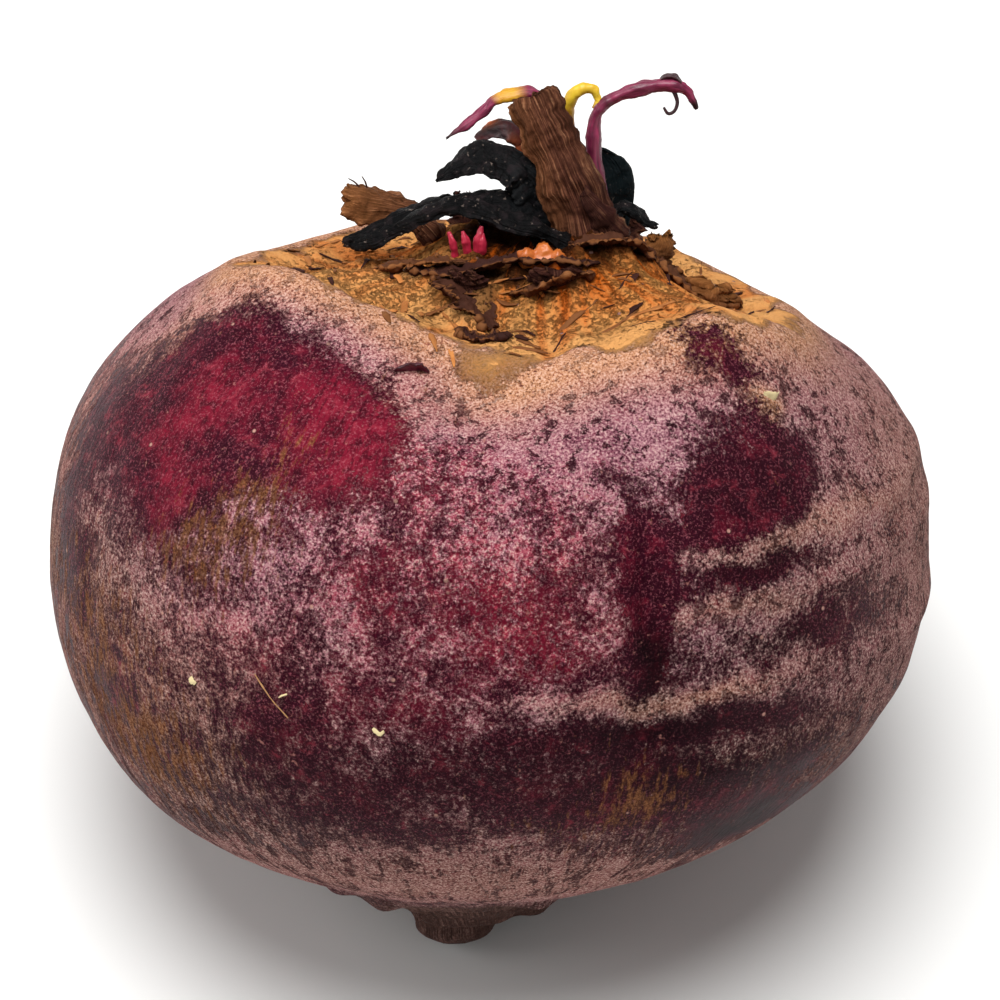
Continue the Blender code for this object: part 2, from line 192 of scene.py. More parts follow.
# Rotted leaf tissue clogs the front of the mound: spots of (x, y, half width, half depth).
rot = np.zeros(len(places))
for x, y, half_width, half_depth in (
    (1, -10, 9, 3), (-2, -14, 3.6, 4), (7, -13, 4, 2.2), (-1, -20.5, 3, 1.3),
    (14, -6, 5, 2.6), (-8, -7, 4, 2), (20, -4, 5, 1.6),
):
    aside, ahead = (places[:, 0] - x) / half_width, (places[:, 1] - y) / half_depth
    rot = np.maximum(rot, gaussian(np.hypot(aside, ahead)) * (places[:, 2] > 20))
rot = ramp(rot + 0.35 * pits, 0.35, 0.75)

relief = 0.35 * lumps + 0.10 * ripples + 0.05 * pits
relief += 1.1 * gaussian((past_rim - 1.0) / 3.6) - 1.3 * gaussian((past_rim + 6.5) / 4.5)
relief += crown * (0.75 * fibres + 0.25 * ripples + 0.18 * pits)
relief += rot * (0.5 + 0.7 * pits + 0.5 * fibres)
relief += mound_core * (0.9 * ripples + 0.6 * pits + 0.5 * fibres) + 2.1 * ramp(mound_distance, 18, 7)

# Growth rings show as low steps on the right side, and the skin puckers along the furrow.
ring_phase = lift + 1.6 * rough(places, 14, 2, 17.0)
on_right = ramp(azimuth, 22, 34) * ramp(azimuth, 110, 80)
for height, width, amount in ((16, 2.0, 0.32), (9.5, 1.8, 0.30), (-2.5, 2.2, 0.42), (-13, 2.6, 0.25)):
    relief += on_right * amount * gaussian((ring_phase - height) / width)
relief += marks(azimuth, lift, (
    (21.5, 13, 2.4, 9, -1.1), (27, 12, 3, 9, 0.35), (17, 13, 3, 8, 0.25), (20, -5, 3, 4, -0.4),
    (-62, 10, 3, 16, -0.35), (-15, 50, 5, 3, -0.5), (47, 33, 3, 2, 0.3)))

# The flesh flows down into the tap root at the front, between stumps of side roots.
relief += marks(azimuth, lift, (
    (-62, -61, 9, 2.6, 1.5), (-52, -67, 10, 3, 1.5), (30, -72, 16, 2.6, 1.5), (55, -67, 12, 2.4, 1.0)))
tap_reach = np.hypot(places[:, 0] + 4.2, places[:, 1])
flow = ramp(tap_reach, 21, 6.5) * ramp(-places[:, 1], -5, 3) * ramp(places[:, 2], -45, -40)
flow *= places[:, 2] < 0
places[:, 2] -= 3.4 * flow

# Towards the tap root the skin creases crosswise and the cut end is rough.
tap_share = ramp(places[:, 2], -36, -40)
crease = np.sin(places[:, 2] * 3.1 + 1.5 * rough(places, 5, 2, 21.0))
relief += tap_share * (0.16 * crease + 0.22 * ripples + 0.15 * pits)

normals = outward(root_mesh)
ground = (np.array(LAID_BACK.to_3x3()) @ (places.T * MM)).T[:, 2] + WIDEST_RING.z
relief *= ramp(ground / MM, 0.2, 2.5)
places += normals * relief[:, None]
root_mesh.vertices.foreach_set("co", (places * MM).ravel())
smoothed(root_mesh, 1)


def painted(mesh, name, values):
    """Stores a number for each point of the mesh, for its material to read."""
    layer = mesh.attributes.new(name, "FLOAT", "POINT")
    layer.data.foreach_set("value", np.asarray(values, dtype=np.float32))


# Where the skin is bare and where the corky scurf covers it. Bare patches: a large one on
# the front left, two on the right, the furrow, and smaller ones low down. Their edges wander.
wander = 3.2 * rough(places, 9, 3, 31.0)
sway = 2.6 * rough(places, 8, 3, 37.0)
patch_azimuth, patch_lift = azimuth + wander / np.cos(np.radians(np.clip(lift, -70, 70))), lift + sway
bare = marks(patch_azimuth, patch_lift, (
    (-50, 40, 14, 8, 1.5), (-33, 38, 13, 8, 1.3), (-56, 29, 11, 8, 1.4), (-24, 32, 9, 7, 1.0),
    (-42, 31, 12, 7, 1.0), (-48, 20, 7, 7, 0.7), (-70, 12, 7, 10, 0.6),
    (39, 42, 6, 3.2, 1.5), (47, 38, 7, 3, 1.3), (41, 31, 7, 4, 0.9), (38, 23, 9, 5, 1.4),
    (47, 25, 5, 5, 0.9), (31, 18.5, 9, 1.3, 0.8),
    (21.5, 13, 2.6, 8, 1.9), (37, 13, 8, 1.6, 0.9), (20, 3, 4, 4, 0.8), (26, -6.5, 15, 2.2, 1.0),
    (44, 5, 5, 3, 0.5), (42, -27, 11, 6, 1.4), (30, -19, 14, 3, 0.7), (12, -15, 16, 7, 0.5),
    (2, 8, 20, 14, 0.2), (-12, -9, 22, 8, 0.3), (-28, -6, 9, 6, 0.45), (-20, -18, 14, 6, 0.4),
    (25, -15, 10, 5, 0.5), (0, -25, 40, 6, 0.15),
    (50, 3, 8, 3, 0.4), (46, -14, 10, 3, 0.4), (-72, 24, 5, 6, 0.5), (-55, -6, 8, 4, 0.3),
    (-120, 25, 20, 14, 1.3), (150, 20, 22, 12, 1.2), (165, -15, 14, 8, 0.8), (100, -5, 12, 6, 0.6)))
crust = marks(patch_azimuth, patch_lift, (
    (45, 16, 20, 2.0, 0.55), (33, 9.5, 14, 1.5, 0.5), (24, -1.5, 16, 1.8, 0.7), (60, -5, 14, 3, 0.4),
    (-95, 6, 20, 3, 0.6), (75, 20, 18, 26, 0.35), (3, 38, 16, 9, 0.35), (20, 36, 12, 8, 0.3),
    (-5, -38, 60, 12, 0.5), (0, 24, 14, 8, 0.15)))
scurf = 0.22 - np.clip(bare, 0, 1.25) + crust + 0.8 * gaussian((past_rim - 4) / 6)
painted(root_mesh, "scurf", np.clip(scurf, -1.2, 1.2))
for name, base, most, spots in (
    ("tan", gaussian((past_rim - 1) / 4), 1, (
        (45, 16, 20, 2.4, 0.45), (33, 9.5, 14, 1.8, 0.4), (24, -1.5, 16, 2.2, 0.6),
        (-98, 4, 22, 3.5, 0.8), (-82, 18, 14, 20, 0.4), (-24, 36, 8, 8, 0.3), (2, 42, 17, 5, 0.55),
        (-62, 38, 12, 10, 0.5), (47, 33, 3, 2.5, 0.9), (80, 15, 22, 30, 0.35), (-55, -8, 30, 14, 0.45),
        (5, -38, 80, 14, 0.3),
    )),
    ("blush", 0, 1.2, (
        (-50, 36, 7, 5, 0.8), (-53, 28, 6, 4, 1.1), (-30, 40, 12, 6, 0.5), (-25, 32, 11, 9, 0.9),
        (6, 12, 10, 7, 0.35), (-5, 12, 18, 10, 0.5), (-10, 29, 9, 5, 0.35), (2, 24, 16, 10, 0.4),
        (8, 6, 9, 5, 0.4), (-12, -2, 9, 4, 0.45), (-16, 12, 6, 4, 0.3), (-32, 4, 8, 5, 0.4),
        (40, 40, 9, 5, 0.3), (-48, 20, 8, 5, 0.6), (150, 20, 16, 10, 0.5), (-120, 25, 14, 10, 0.5),
    )),
    ("stain", 0, 1, (
        (-34, 21, 8, 7, 1.0), (-30, 30, 5, 4, 0.6), (-44, 14, 7, 5, 0.6), (-38, 10, 8, 6, 0.5),
        (-62, 0, 16, 12, 0.75), (-50, -16, 16, 10, 0.9), (22, -17, 9, 6, 0.8), (10, -22, 14, 7, 0.4),
        (-17, 45, 5, 4, 0.5),
    )),
    # Painted shade: darker in the furrow, low down, towards the tap root and on the right, with some darker
    # skin among it.
    ("shade_and_dark_skin", tap_share * 0.5, 1, (
        (21.5, 4, 3.5, 6, 1.0), (21.5, 15, 3.5, 7, 0.1), (40, 23, 10, 6, 0.5), (24, -6, 16, 3.5, 0.8),
        (42, -27, 13, 7, 1.0), (-72, 12, 9, 12, 0.3), (38, 13, 10, 3, 0.6), (5, -15, 34, 9, 0.3),
        (-40, -25, 30, 10, 0.3), (36, 4, 13, 3.5, 0.6), (30, -14, 16, 5, 0.6), (-5, -10, 16, 5, 0.35),
        (-30, -12, 14, 8, 0.3), (10, -58, 40, 8, 0.15),
    )),
    # Browner and darker low down and on the sides: partly soil, partly painted shade.
    ("soil_and_shade", ramp(lift, 2, -32) * 0.6, 1, (
        (-75, 5, 20, 18, 0.6), (-56, 6, 14, 10, 0.5), (-48, -14, 20, 12, 0.6), (40, -14, 24, 8, 0.5),
        (24, -18, 12, 8, 0.5), (58, 4, 22, 26, 0.45), (85, 10, 20, 30, 0.3), (40, 4, 14, 6, 0.4),
    )),
):
    painted(root_mesh, name, np.clip(base + marks(patch_azimuth, patch_lift, spots), 0, most))
painted(root_mesh, "streak", np.clip(ramp(lift, -18, -40) * 0.6 + marks(azimuth, lift, (
    (-80, 8, 24, 30, 1.0), (-50, -20, 32, 16, 0.9), (32, -24, 28, 12, 0.8), (90, -10, 30, 20, 0.6),
    (180, -20, 60, 20, 0.6),
)), 0, 1))

# A tongue of cork runs down the front from the crown, and the cork is palest at its rim.
tongue = marks(patch_azimuth, patch_lift,
               ((-3, 48, 10, 5, 0.45), (8, 50, 9, 4, 0.35), (-62, 44, 14, 3, 0.3)))
painted(root_mesh, "cork", np.maximum(crown, np.clip(tongue, 0, 0.8)))
# The rim level is pale cork at the rim, and its spots round the crown, most of all on the left, are painted
# light.
painted(root_mesh, "rim", np.clip(gaussian((past_rim + 1) / 5.5) + marks(mound_azimuth, mound_distance, (
    (-70, 20, 35, 7, 0.8), (75, 23, 30, 6, 0.5), (0, 18, 40, 4, 0.3))), 0, 1))
# The mound level marks rotted tissue and the shade under the stalks.
painted(root_mesh, "mound", np.maximum(mound_core, rot))
painted(root_mesh, "tap", tap_share)

# The leaves stand on this skin, so its shape is kept to find the height under a point.
crown_build = bmesh.new()
crown_build.from_mesh(root_mesh)
crown_tree = BVHTree.FromBMesh(crown_build)
crown_build.free()
root_mesh.transform(LAID_BACK)


def colour(code):
    """An sRGB hex colour as linear red, green, blue and alpha."""
    parts = [int(code[i : i + 2], 16) / 255 for i in (1, 3, 5)]
    return (*(p / 12.92 if p <= 0.04045 else ((p + 0.055) / 1.055) ** 2.4 for p in parts), 1)


def node(material, kind, inputs=None, **settings):
    """Adds a node to the material. An input is a value, a hex colour or another node's output.

    Mix takes its share as input 0, floats as 2 and 3, colours as 6 and 7. MapRange takes its
    value and its from and to ranges as 0 to 4. A pattern's Scale is its lumps to the metre.
    """
    made = material.node_tree.nodes.new("ShaderNode" + kind)
    for name, value in settings.items():
        setattr(made, name, value)
    for socket, value in (inputs or {}).items():
        if isinstance(value, bpy.types.NodeSocket):
            material.node_tree.links.new(value, made.inputs[socket])
        else:
            made.inputs[socket].default_value = colour(value) if isinstance(value, str) else value
    return made.outputs


def new_material(name):
    material = bpy.data.materials.new(name)
    material.use_nodes = True
    material.node_tree.nodes.clear()
    return material


# Living beet skin under a dry corky scurf. The skin is thin, smooth and slightly waxy, dark
# red from the flesh beneath; the scurf is dead cork that flakes, so it is matte and pale.
skin = new_material("beet_skin_with_cork_scurf")
upright = node(skin, "Mapping", {
    "Vector": node(skin, "TexCoord")["Object"],
    "Location": LAID_BACK.inverted().to_translation(),
    "Rotation": (LEAN, 0, 0),
})[0]
scurf_level, tan_level, blush_level, stain_level, shade_and_dark_skin_level, streak_level, soil_and_shade_level = (
    node(skin, "Attribute", attribute_name=name)["Fac"]
    for name in ("scurf", "tan", "blush", "stain", "shade_and_dark_skin", "streak", "soil_and_shade"))
cork_level, rim_and_light_level, mound_level, tap_level = (
    node(skin, "Attribute", attribute_name=name)["Fac"] for name in ("cork", "rim", "mound", "tap"))

# Scurf grains are 0.3 to 0.7 mm across, in drifts of 3 to 5 mm. Near the tap root and on the
# left they are drawn out along the root, as the skin stretched that way.
flat_out = node(skin, "VectorMath", {0: upright, 1: (1, 1, 0)}, operation="MULTIPLY")[0]
radius = node(skin, "VectorMath", {0: flat_out}, operation="LENGTH")["Value"]
rise = node(skin, "SeparateXYZ", {0: upright})["Z"]
meridian = node(skin, "VectorMath", {
    0: node(skin, "VectorMath", {
        0: node(skin, "VectorMath", {0: flat_out}, operation="NORMALIZE")[0], "Scale": 0.04,
    }, operation="SCALE")[0],
    1: node(skin, "CombineXYZ", {
        "Z": node(skin, "Math", {
            0: node(skin, "Math", {0: rise, 1: radius}, operation="ARCTAN2")[0], 1: 0.012,
        }, operation="MULTIPLY")[0],
    })[0],
}, operation="ADD")[0]
round_grain = node(skin, "TexNoise", {
    "Vector": upright, "Scale": 1700, "Detail": 6, "Roughness": 0.72,
})["Fac"]
long_grain = node(skin, "TexNoise", {
    "Vector": meridian, "Scale": 1500, "Detail": 5, "Roughness": 0.7,
})["Fac"]
grain = node(skin, "Mix", {0: streak_level, 2: round_grain, 3: long_grain})[0]
# Fine pale specks: dust on the skin, partly painted highlight.
dust_and_highlight = node(skin, "TexNoise", {"Vector": upright, "Scale": 3600, "Detail": 3, "Roughness": 0.75})["Fac"]
drift = node(skin, "TexNoise", {"Vector": upright, "Scale": 260, "Detail": 6, "Roughness": 0.66})["Fac"]
broad = node(skin, "TexNoise", {"Vector": upright, "Scale": 150, "Detail": 4, "Roughness": 0.6})["Fac"]
cover = node(skin, "Math", {
    0: drift,
    1: 0.5,
    2: node(skin, "Math", {0: scurf_level, 1: 0.27, 2: grain}, operation="MULTIPLY_ADD")[0],
}, operation="MULTIPLY_ADD")[0]
scurf_mask = node(skin, "MapRange", {0: cover, 1: 0.71, 2: 0.83})[0]

# Bare skin: maroon to crimson, with redder blushes, pale specks partly of painted highlight, and nearly
# black painted shade in the hollows.
red_share = blush_level
for pattern, low, high, amount in ((broad, 0.35, 0.65, 0.2), (drift, 0.3, 0.7, 0.5),
                                   (round_grain, 0.35, 0.65, 0.25)):
    red_share = node(skin, "Math", {
        0: red_share, 1: node(skin, "MapRange", {0: pattern, 1: low, 2: high, 3: -amount, 4: amount})[0],
    }, operation="ADD")[0]
red_share = node(skin, "Clamp", {0: red_share})[0]
bare_colour = node(skin, "Mix", {0: red_share, 6: "#330919", 7: "#78152a"}, data_type="RGBA")[2]
# The mottle's blotches are 2 mm across.
mottle = node(skin, "TexNoise", {
    "Vector": upright, "Scale": 520, "Detail": 8, "Roughness": 0.75, "Distortion": 0.5,
})["Fac"]
# Each layer comes in between two levels of its pattern, up to an amount.
for pattern, low, high, amount, code in (
    (long_grain, 0.52, 0.36, 0.7, "#2c0611"),
    (mottle, 0.47, 0.4, 0.6, "#26060f"),
    (mottle, 0.56, 0.68, 0.6, "#a23a48"),
    # Pale pink specks on the bare skin: partly dust, partly painted highlight.
    (dust_and_highlight, 0.53, 0.66, 0.5, "#b0606c"),
    # Nearly black painted shade where the shade level is high.
    (shade_and_dark_skin_level, 0, 1, 0.85, "#0d0407"),
):
    bare_colour = node(skin, "Mix", {
        0: node(skin, "MapRange", {0: pattern, 1: low, 2: high, 4: amount})[0], 6: bare_colour, 7: code,
    }, data_type="RGBA")[2]

# Scurf: mauve-grey over the front, tan on the shoulders and rings, brown low down from soil and painted
# shade.
scurf_colour = node(skin, "Mix", {
    0: node(skin, "MapRange", {0: drift, 1: 0.3, 2: 0.7})[0], 6: "#70344a", 7: "#a8747f",
}, data_type="RGBA")[2]
blush_mask = node(skin, "Math", {
    0: blush_level, 1: node(skin, "MapRange", {0: mottle, 1: 0.42, 2: 0.58, 3: 0.15})[0],
}, operation="MULTIPLY")[0]
scurf_colour = node(skin, "Mix", {0: blush_mask, 6: scurf_colour, 7: "#a42b40"}, data_type="RGBA")[2]
for pattern, low, high, amount, over in (
    (tan_level, 0, 1, 0.9, "#c28a62"),
    # Brown scurf low down and on the sides: soil, and partly painted shade.
    (soil_and_shade_level, 0, 1, 0.85, "#694535"),
    # Grey-dark scurf where the shade level is high: painted shade.
    (shade_and_dark_skin_level, 0, 1, 0.7, "#33262c"),
    # Pale specks on the scurf: partly dust, partly painted highlight.
    (dust_and_highlight, 0.5, 0.64, 0.48, "#efd0c2"),
    (dust_and_highlight, 0.48, 0.37, 0.9, bare_colour),
):
    scurf_colour = node(skin, "Mix", {
        0: node(skin, "MapRange", {0: pattern, 1: low, 2: high, 4: amount})[0], 6: scurf_colour, 7: over,
    }, data_type="RGBA")[2]
body_colour = node(skin, "Mix", {0: scurf_mask, 6: bare_colour, 7: scurf_colour}, data_type="RGBA")[2]

# Holes and cracks through the scurf show as dark flecks, up to 1 mm.
round_hole = node(skin, "TexNoise", {
    "Vector": upright, "Scale": 760, "Detail": 8, "Roughness": 0.72, "Distortion": 0.4,
})["Fac"]
long_hole = node(skin, "TexNoise", {
    "Vector": meridian, "Scale": 620, "Detail": 8, "Roughness": 0.72, "Distortion": 0.6,
})["Fac"]
hole = node(skin, "Mix", {0: streak_level, 2: round_hole, 3: long_hole})[0]
hole = node(skin, "Math", {0: streak_level, 1: 0.045, 2: hole}, operation="MULTIPLY_ADD")[0]
hole_mask = node(skin, "MapRange", {
    0: node(skin, "Math", {0: drift, 1: -0.25, 2: hole}, operation="MULTIPLY_ADD")[0],
    1: 0.43,
    2: 0.47,
    4: 0.95,
})[0]
hole_mask = node(skin, "Math", {
    0: hole_mask,
    1: node(skin, "Math", {
        0: scurf_mask, 1: node(skin, "MapRange", {0: tan_level, 3: 1, 4: 0.4})[0],
    }, operation="MULTIPLY")[0],
}, operation="MULTIPLY")[0]
body_colour = node(skin, "Mix", {
    0: hole_mask,
    6: body_colour,
    7: node(skin, "Mix", {0: 0.6, 6: bare_colour, 7: "#14050a"}, data_type="RGBA")[2],
}, data_type="RGBA")[2]

# Flecks of scurf, about 0.5 mm, are left on the bare patches.
fleck = node(skin, "TexNoise", {"Vector": upright, "Scale": 1150, "Detail": 4, "Roughness": 0.6})["Fac"]
fleck_mask = node(skin, "MapRange", {0: fleck, 1: 0.65, 2: 0.72, 4: 0.6})[0]
body_colour = node(skin, "Mix", {0: fleck_mask, 6: body_colour, 7: "#a87068"}, data_type="RGBA")[2]

# Brown stains where soil and sap have dried on, drawn out in streaks.
stain_mask = node(skin, "MapRange", {
    0: node(skin, "Math", {0: stain_level, 1: 0.26, 2: long_grain}, operation="MULTIPLY_ADD")[0],
    1: 0.66,
    2: 0.8,
    4: 0.8,
})[0]
body_colour = node(skin, "Mix", {
    0: stain_mask,
    6: body_colour,
    7: node(skin, "Mix", {
        0: node(skin, "MapRange", {0: dust_and_highlight, 1: 0.35, 2: 0.7})[0], 6: "#472014", 7: "#9c683e",
    }, data_type="RGBA")[2],
}, data_type="RGBA")[2]

# The crown's cork: orange-brown fibres that run out from the mound, pale at the rim, with painted light on
# the crown's left.
from_mound = node(skin, "VectorMath", {
    0: upright, 1: (MOUND[0] * MM, MOUND[1] * MM, 0),
}, operation="SUBTRACT")[0]
around_mound = node(skin, "VectorMath", {0: from_mound, 1: (1, 1, 0)}, operation="MULTIPLY")[0]
reach = node(skin, "VectorMath", {0: around_mound}, operation="LENGTH")["Value"]
fibre_place = node(skin, "VectorMath", {
    0: node(skin, "VectorMath", {0: around_mound}, operation="NORMALIZE")[0],
    1: node(skin, "CombineXYZ", {"Z": node(skin, "Math", {0: reach, 1: 16}, operation="MULTIPLY")[0]})[0],
}, operation="ADD")[0]
fibre = node(skin, "TexNoise", {
    "Vector": fibre_place, "Scale": 13, "Detail": 7, "Roughness": 0.75, "Distortion": 0.5,
})["Fac"]
sheet = node(skin, "TexNoise", {
    "Vector": fibre_place, "Scale": 4.5, "Detail": 5, "Roughness": 0.6, "Distortion": 0.8,
})["Fac"]
cork_colour = node(skin, "Mix", {
    0: node(skin, "MapRange", {0: sheet, 1: 0.38, 2: 0.64})[0], 6: "#dc6412", 7: "#ffb464",
}, data_type="RGBA")[2]
for pattern, low, high, amount, code in (
    (fibre, 0.49, 0.37, 0.62, "#742c06"), (grain, 0.45, 0.33, 0.45, "#7c3a16"),
):
    cork_colour = node(skin, "Mix", {
        0: node(skin, "MapRange", {0: pattern, 1: low, 2: high, 4: amount})[0], 6: cork_colour, 7: code,
    }, data_type="RGBA")[2]
# Dark over the mound: rotted leaf tissue, and partly painted shade under the stalks.
rot_and_shade_mask = node(skin, "Math", {
    0: node(skin, "Math", {0: mound_level, 1: 0.8, 2: 0.14}, operation="MULTIPLY_ADD")[0],
    1: node(skin, "MapRange", {
        0: node(skin, "Math", {0: mound_level, 1: 0.16, 2: sheet}, operation="MULTIPLY_ADD")[0],
        1: 0.5,
        2: 0.6,
    })[0],
}, operation="MULTIPLY")[0]
cork_colour = node(skin, "Mix", {0: rot_and_shade_mask, 6: cork_colour, 7: "#32120b"}, data_type="RGBA")[2]
# Pale cork at the rim, and painted light where the rim level's spots brighten the crown.
cork_colour = node(skin, "Mix", {
    0: node(skin, "Math", {
        0: rim_and_light_level, 1: node(skin, "MapRange", {0: sheet, 1: 0.36, 2: 0.56, 3: 0.45, 4: 0.95})[0],
    }, operation="MULTIPLY")[0],
    6: cork_colour,
    7: "#ffb870",
}, data_type="RGBA")[2]
cork_mask = node(skin, "MapRange", {
    0: node(skin, "Math", {0: cover, 1: 0.6, 2: cork_level}, operation="MULTIPLY_ADD")[0], 1: 0.86, 2: 1.19,
})[0]
body_colour = node(skin, "Mix", {0: cork_mask, 6: body_colour, 7: cork_colour}, data_type="RGBA")[2]
body_colour = node(skin, "Mix", {
    0: node(skin, "Math", {0: tap_level, 1: 0.8}, operation="MULTIPLY")[0],
    6: body_colour,
    7: node(skin, "Mix", {
        0: node(skin, "MapRange", {0: grain, 1: 0.3, 2: 0.75})[0], 6: "#2a1a1a", 7: "#86665a",
    }, data_type="RGBA")[2],
}, data_type="RGBA")[2]

# Crumbs: pale chips of dry skin, about 0.4 mm, one every 3 mm or so.
crumb = node(skin, "TexVoronoi", {"Vector": upright, "Scale": 420})
crumb_mask = node(skin, "Math", {
    0: node(skin, "MapRange", {0: crumb["Distance"], 1: 0.07, 2: 0.12, 3: 1, 4: 0})[0],
    1: node(skin, "MapRange", {0: crumb["Color"], 1: 0.7, 2: 0.74})[0],
}, operation="MULTIPLY")[0]
body_colour = node(skin, "Mix", {0: crumb_mask, 6: body_colour, 7: "#b5867a"}, data_type="RGBA")[2]

# Scurf and crumbs stand up, holes go in, and the cork's fibres have their own deeper relief.
height = grain
for pattern, share in ((scurf_mask, 0.7), (hole_mask, -0.6), (crumb_mask, 1.2)):
    height = node(skin, "Math", {0: pattern, 1: share, 2: height}, operation="MULTIPLY_ADD")[0]
fine_bump = node(skin, "Bump", {"Strength": 0.9, "Distance": 0.22 * MM, "Height": height})[0]
cork_height = node(skin, "Math", {
    0: node(skin, "Math", {0: fibre, 1: grain}, operation="ADD")[0], 1: cork_mask,
}, operation="MULTIPLY")[0]
cork_bump = node(skin, "Bump", {
    "Strength": 0.9, "Distance": 0.32 * MM, "Height": cork_height, "Normal": fine_bump,
})[0]
dry_share = node(skin, "Math", {0: scurf_mask, 1: cork_mask}, operation="MAXIMUM")[0]
node(skin, "OutputMaterial", {"Surface": node(skin, "BsdfPrincipled", {
    "Base Color": body_colour,
    "Roughness": node(skin, "MapRange", {0: dry_share, 3: 0.3, 4: 0.8})[0],
    "Normal": cork_bump,
    "Specular IOR Level": 0.03,
})["BSDF"]})

piece_of("beetroot_root", root_mesh, skin, "root")

# ---------------------------------------------------------------------------------------
# Broad leaf stalk: the dry foot of one big leaf, brown, fibrous and flat, grooved along its
# length, torn off at the top. Its foot grows out of the crown.


def crown_top(x, y):
    """Height of the crown under a point given in mm."""
    hit = crown_tree.ray_cast(Vector((x, y, 90)) * MM, Vector((0, 0, -1)))[0]
    return hit.z / MM


def on_crown(spine, hug=False, foot=None):
    """Sets a spine of (x, y, height over the crown) on the crown: by its foot, or all along."""
    ground = crown_top(*(foot or spine[0][:2]))
    return [Vector((x, y, over + (crown_top(x, y) if hug else ground))) for x, y, over in spine]


def smooth_path(points, count):
    """A Catmull-Rom curve through the points, as count + 1 points."""
    spans, path = len(points) - 1, []
    for step in range(count + 1):
        first = min(int(step * spans / count), spans - 1)
        t = step * spans / count - first
        a, b = points[max(first - 1, 0)], points[first]
        c, d = points[first + 1], points[min(first + 2, spans)]
        path.append(0.5 * (2 * b + (c - a) * t + (2 * a - 5 * b + 4 * c - d) * t**2
                           + (3 * b - a - 3 * c + d) * t**3))
    return path


def strip(points, widths, flat, cup=0.0, side=(1, 0, 0), twist=0, ring=28, steps=60, torn=0.0,
          uneven=0.0, seed=0.0):
    """Sweeps a section along a path of points in mm and closes both ends.

    widths are half widths along the path, flat the section's thickness over its width, cup
    how far its edges curl, side the way its width points, torn how ragged its far end is and
    uneven how far its edges stray, as a share of the half width.
    """
    path = smooth_path(points, steps)
    sizes = np.interp(np.linspace(0, len(widths) - 1, steps + 1), range(len(widths)), widths)
    piece = bmesh.new()
    along, across = (piece.verts.layers.float.new(name) for name in ("along", "across"))
    bmesh.ops.create_circle(piece, segments=ring, radius=1)
    for vert in piece.verts:
        vert[across] = vert.co.x
        vert.co.y = flat * vert.co.y + cup * (vert.co.x**2 - 0.4)
    aside, frames = Vector(side), []
    for step, point in enumerate(path):
        ahead = (path[min(step + 1, steps)] - path[max(step - 1, 0)]).normalized()
        aside = (aside - ahead * aside.dot(ahead)).normalized()
        wide = Matrix.Rotation(math.radians(twist) * step / steps, 3, ahead) @ aside
        turn = Matrix((wide, ahead.cross(wide), ahead)).transposed().to_4x4()
        frames.append(Matrix.Translation(point) @ turn @ Matrix.Scale(sizes[step], 4))
    bmesh.ops.transform(piece, matrix=frames[0], verts=piece.verts)
    edge = list(piece.edges)
    for step in range(1, steps + 1):
        grown = bmesh.ops.extrude_edge_only(piece, edges=edge)["geom"]
        fresh = [part for part in grown if isinstance(part, bmesh.types.BMVert)]
        edge = [part for part in grown if isinstance(part, bmesh.types.BMEdge)]
        bmesh.ops.transform(piece, matrix=frames[step] @ frames[step - 1].inverted(), verts=fresh)
        for vert in fresh:
            vert[along] = step / steps
    if uneven:
        for vert in piece.verts:
            frame_here = frames[round(vert[along] * steps)]
            stray = noise.fractal(Vector((vert[along] * 7, 9 * (vert[across] > 0), seed + 4)), 0.8, 2.1, 3)
            vert.co += frame_here.col[0].xyz * vert[across] * stray * uneven
    if torn:
        for vert in piece.verts:
            share = max(0.0, (vert[along] - 0.72) / 0.28) ** 1.5
            bite = noise.fractal(Vector((vert[across] * 2.2, seed, seed)), 0.8, 2.1, 3)
            vert.co += frames[-1].col[2].xyz.normalized() * torn * share * bite
    caps = bmesh.ops.holes_fill(piece, edges=piece.edges, sides=0)["faces"]
    bmesh.ops.poke(piece, faces=caps)
    bmesh.ops.recalc_face_normals(piece, faces=piece.faces)
    return piece


def crumple(piece, dents=(), ribs=(0, 0), seed=0.0):
    """Presses dents (size, depth) and lengthwise ribs (count, depth) into a strip, in mm."""
    piece.normal_update()
    along, across = (piece.verts.layers.float[name] for name in ("along", "across"))
    spots = np.array([vert.co[:] for vert in piece.verts])
    shift = np.zeros(len(spots))
    for size, depth in dents:
        shift += depth * rough(spots, size, 3, seed + size)
    if ribs[1]:
        lines = np.array([(v[across] * ribs[0], v[along] * 2.2, v.normal.y) for v in piece.verts])
        shift += ribs[1] * rough(lines, 1.0, 3, seed)
    for vert, amount in zip(piece.verts, shift):
        vert.co += vert.normal * amount
    return piece


def finished(name, pieces, material, cad_node):
    """Joins strips worked in upright mm into one smooth mesh and lays it back with the root."""
    joined = bmesh.new()
    for strip_piece in pieces:
        part = bpy.data.meshes.new("part")
        strip_piece.to_mesh(part)
        strip_piece.free()
        joined.from_mesh(part)
        bpy.data.meshes.remove(part)
    mesh = bpy.data.meshes.new(name)
    joined.to_mesh(mesh)
    joined.free()
    mesh.transform(LAID_BACK @ Matrix.Scale(MM, 4))
    piece_of(name, mesh, material, cad_node)


def shaded(piece, **levels):
    """Stores a number for each point of a strip, worked out from its share along and across."""
    along, across = (piece.verts.layers.float[name] for name in ("along", "across"))
    for name, level in levels.items():
        layer = piece.verts.layers.float.new(name)
        for vert in piece.verts:
            vert[layer] = min(1.0, max(0.0, level(vert[along], vert[across], vert.co)))
    return piece


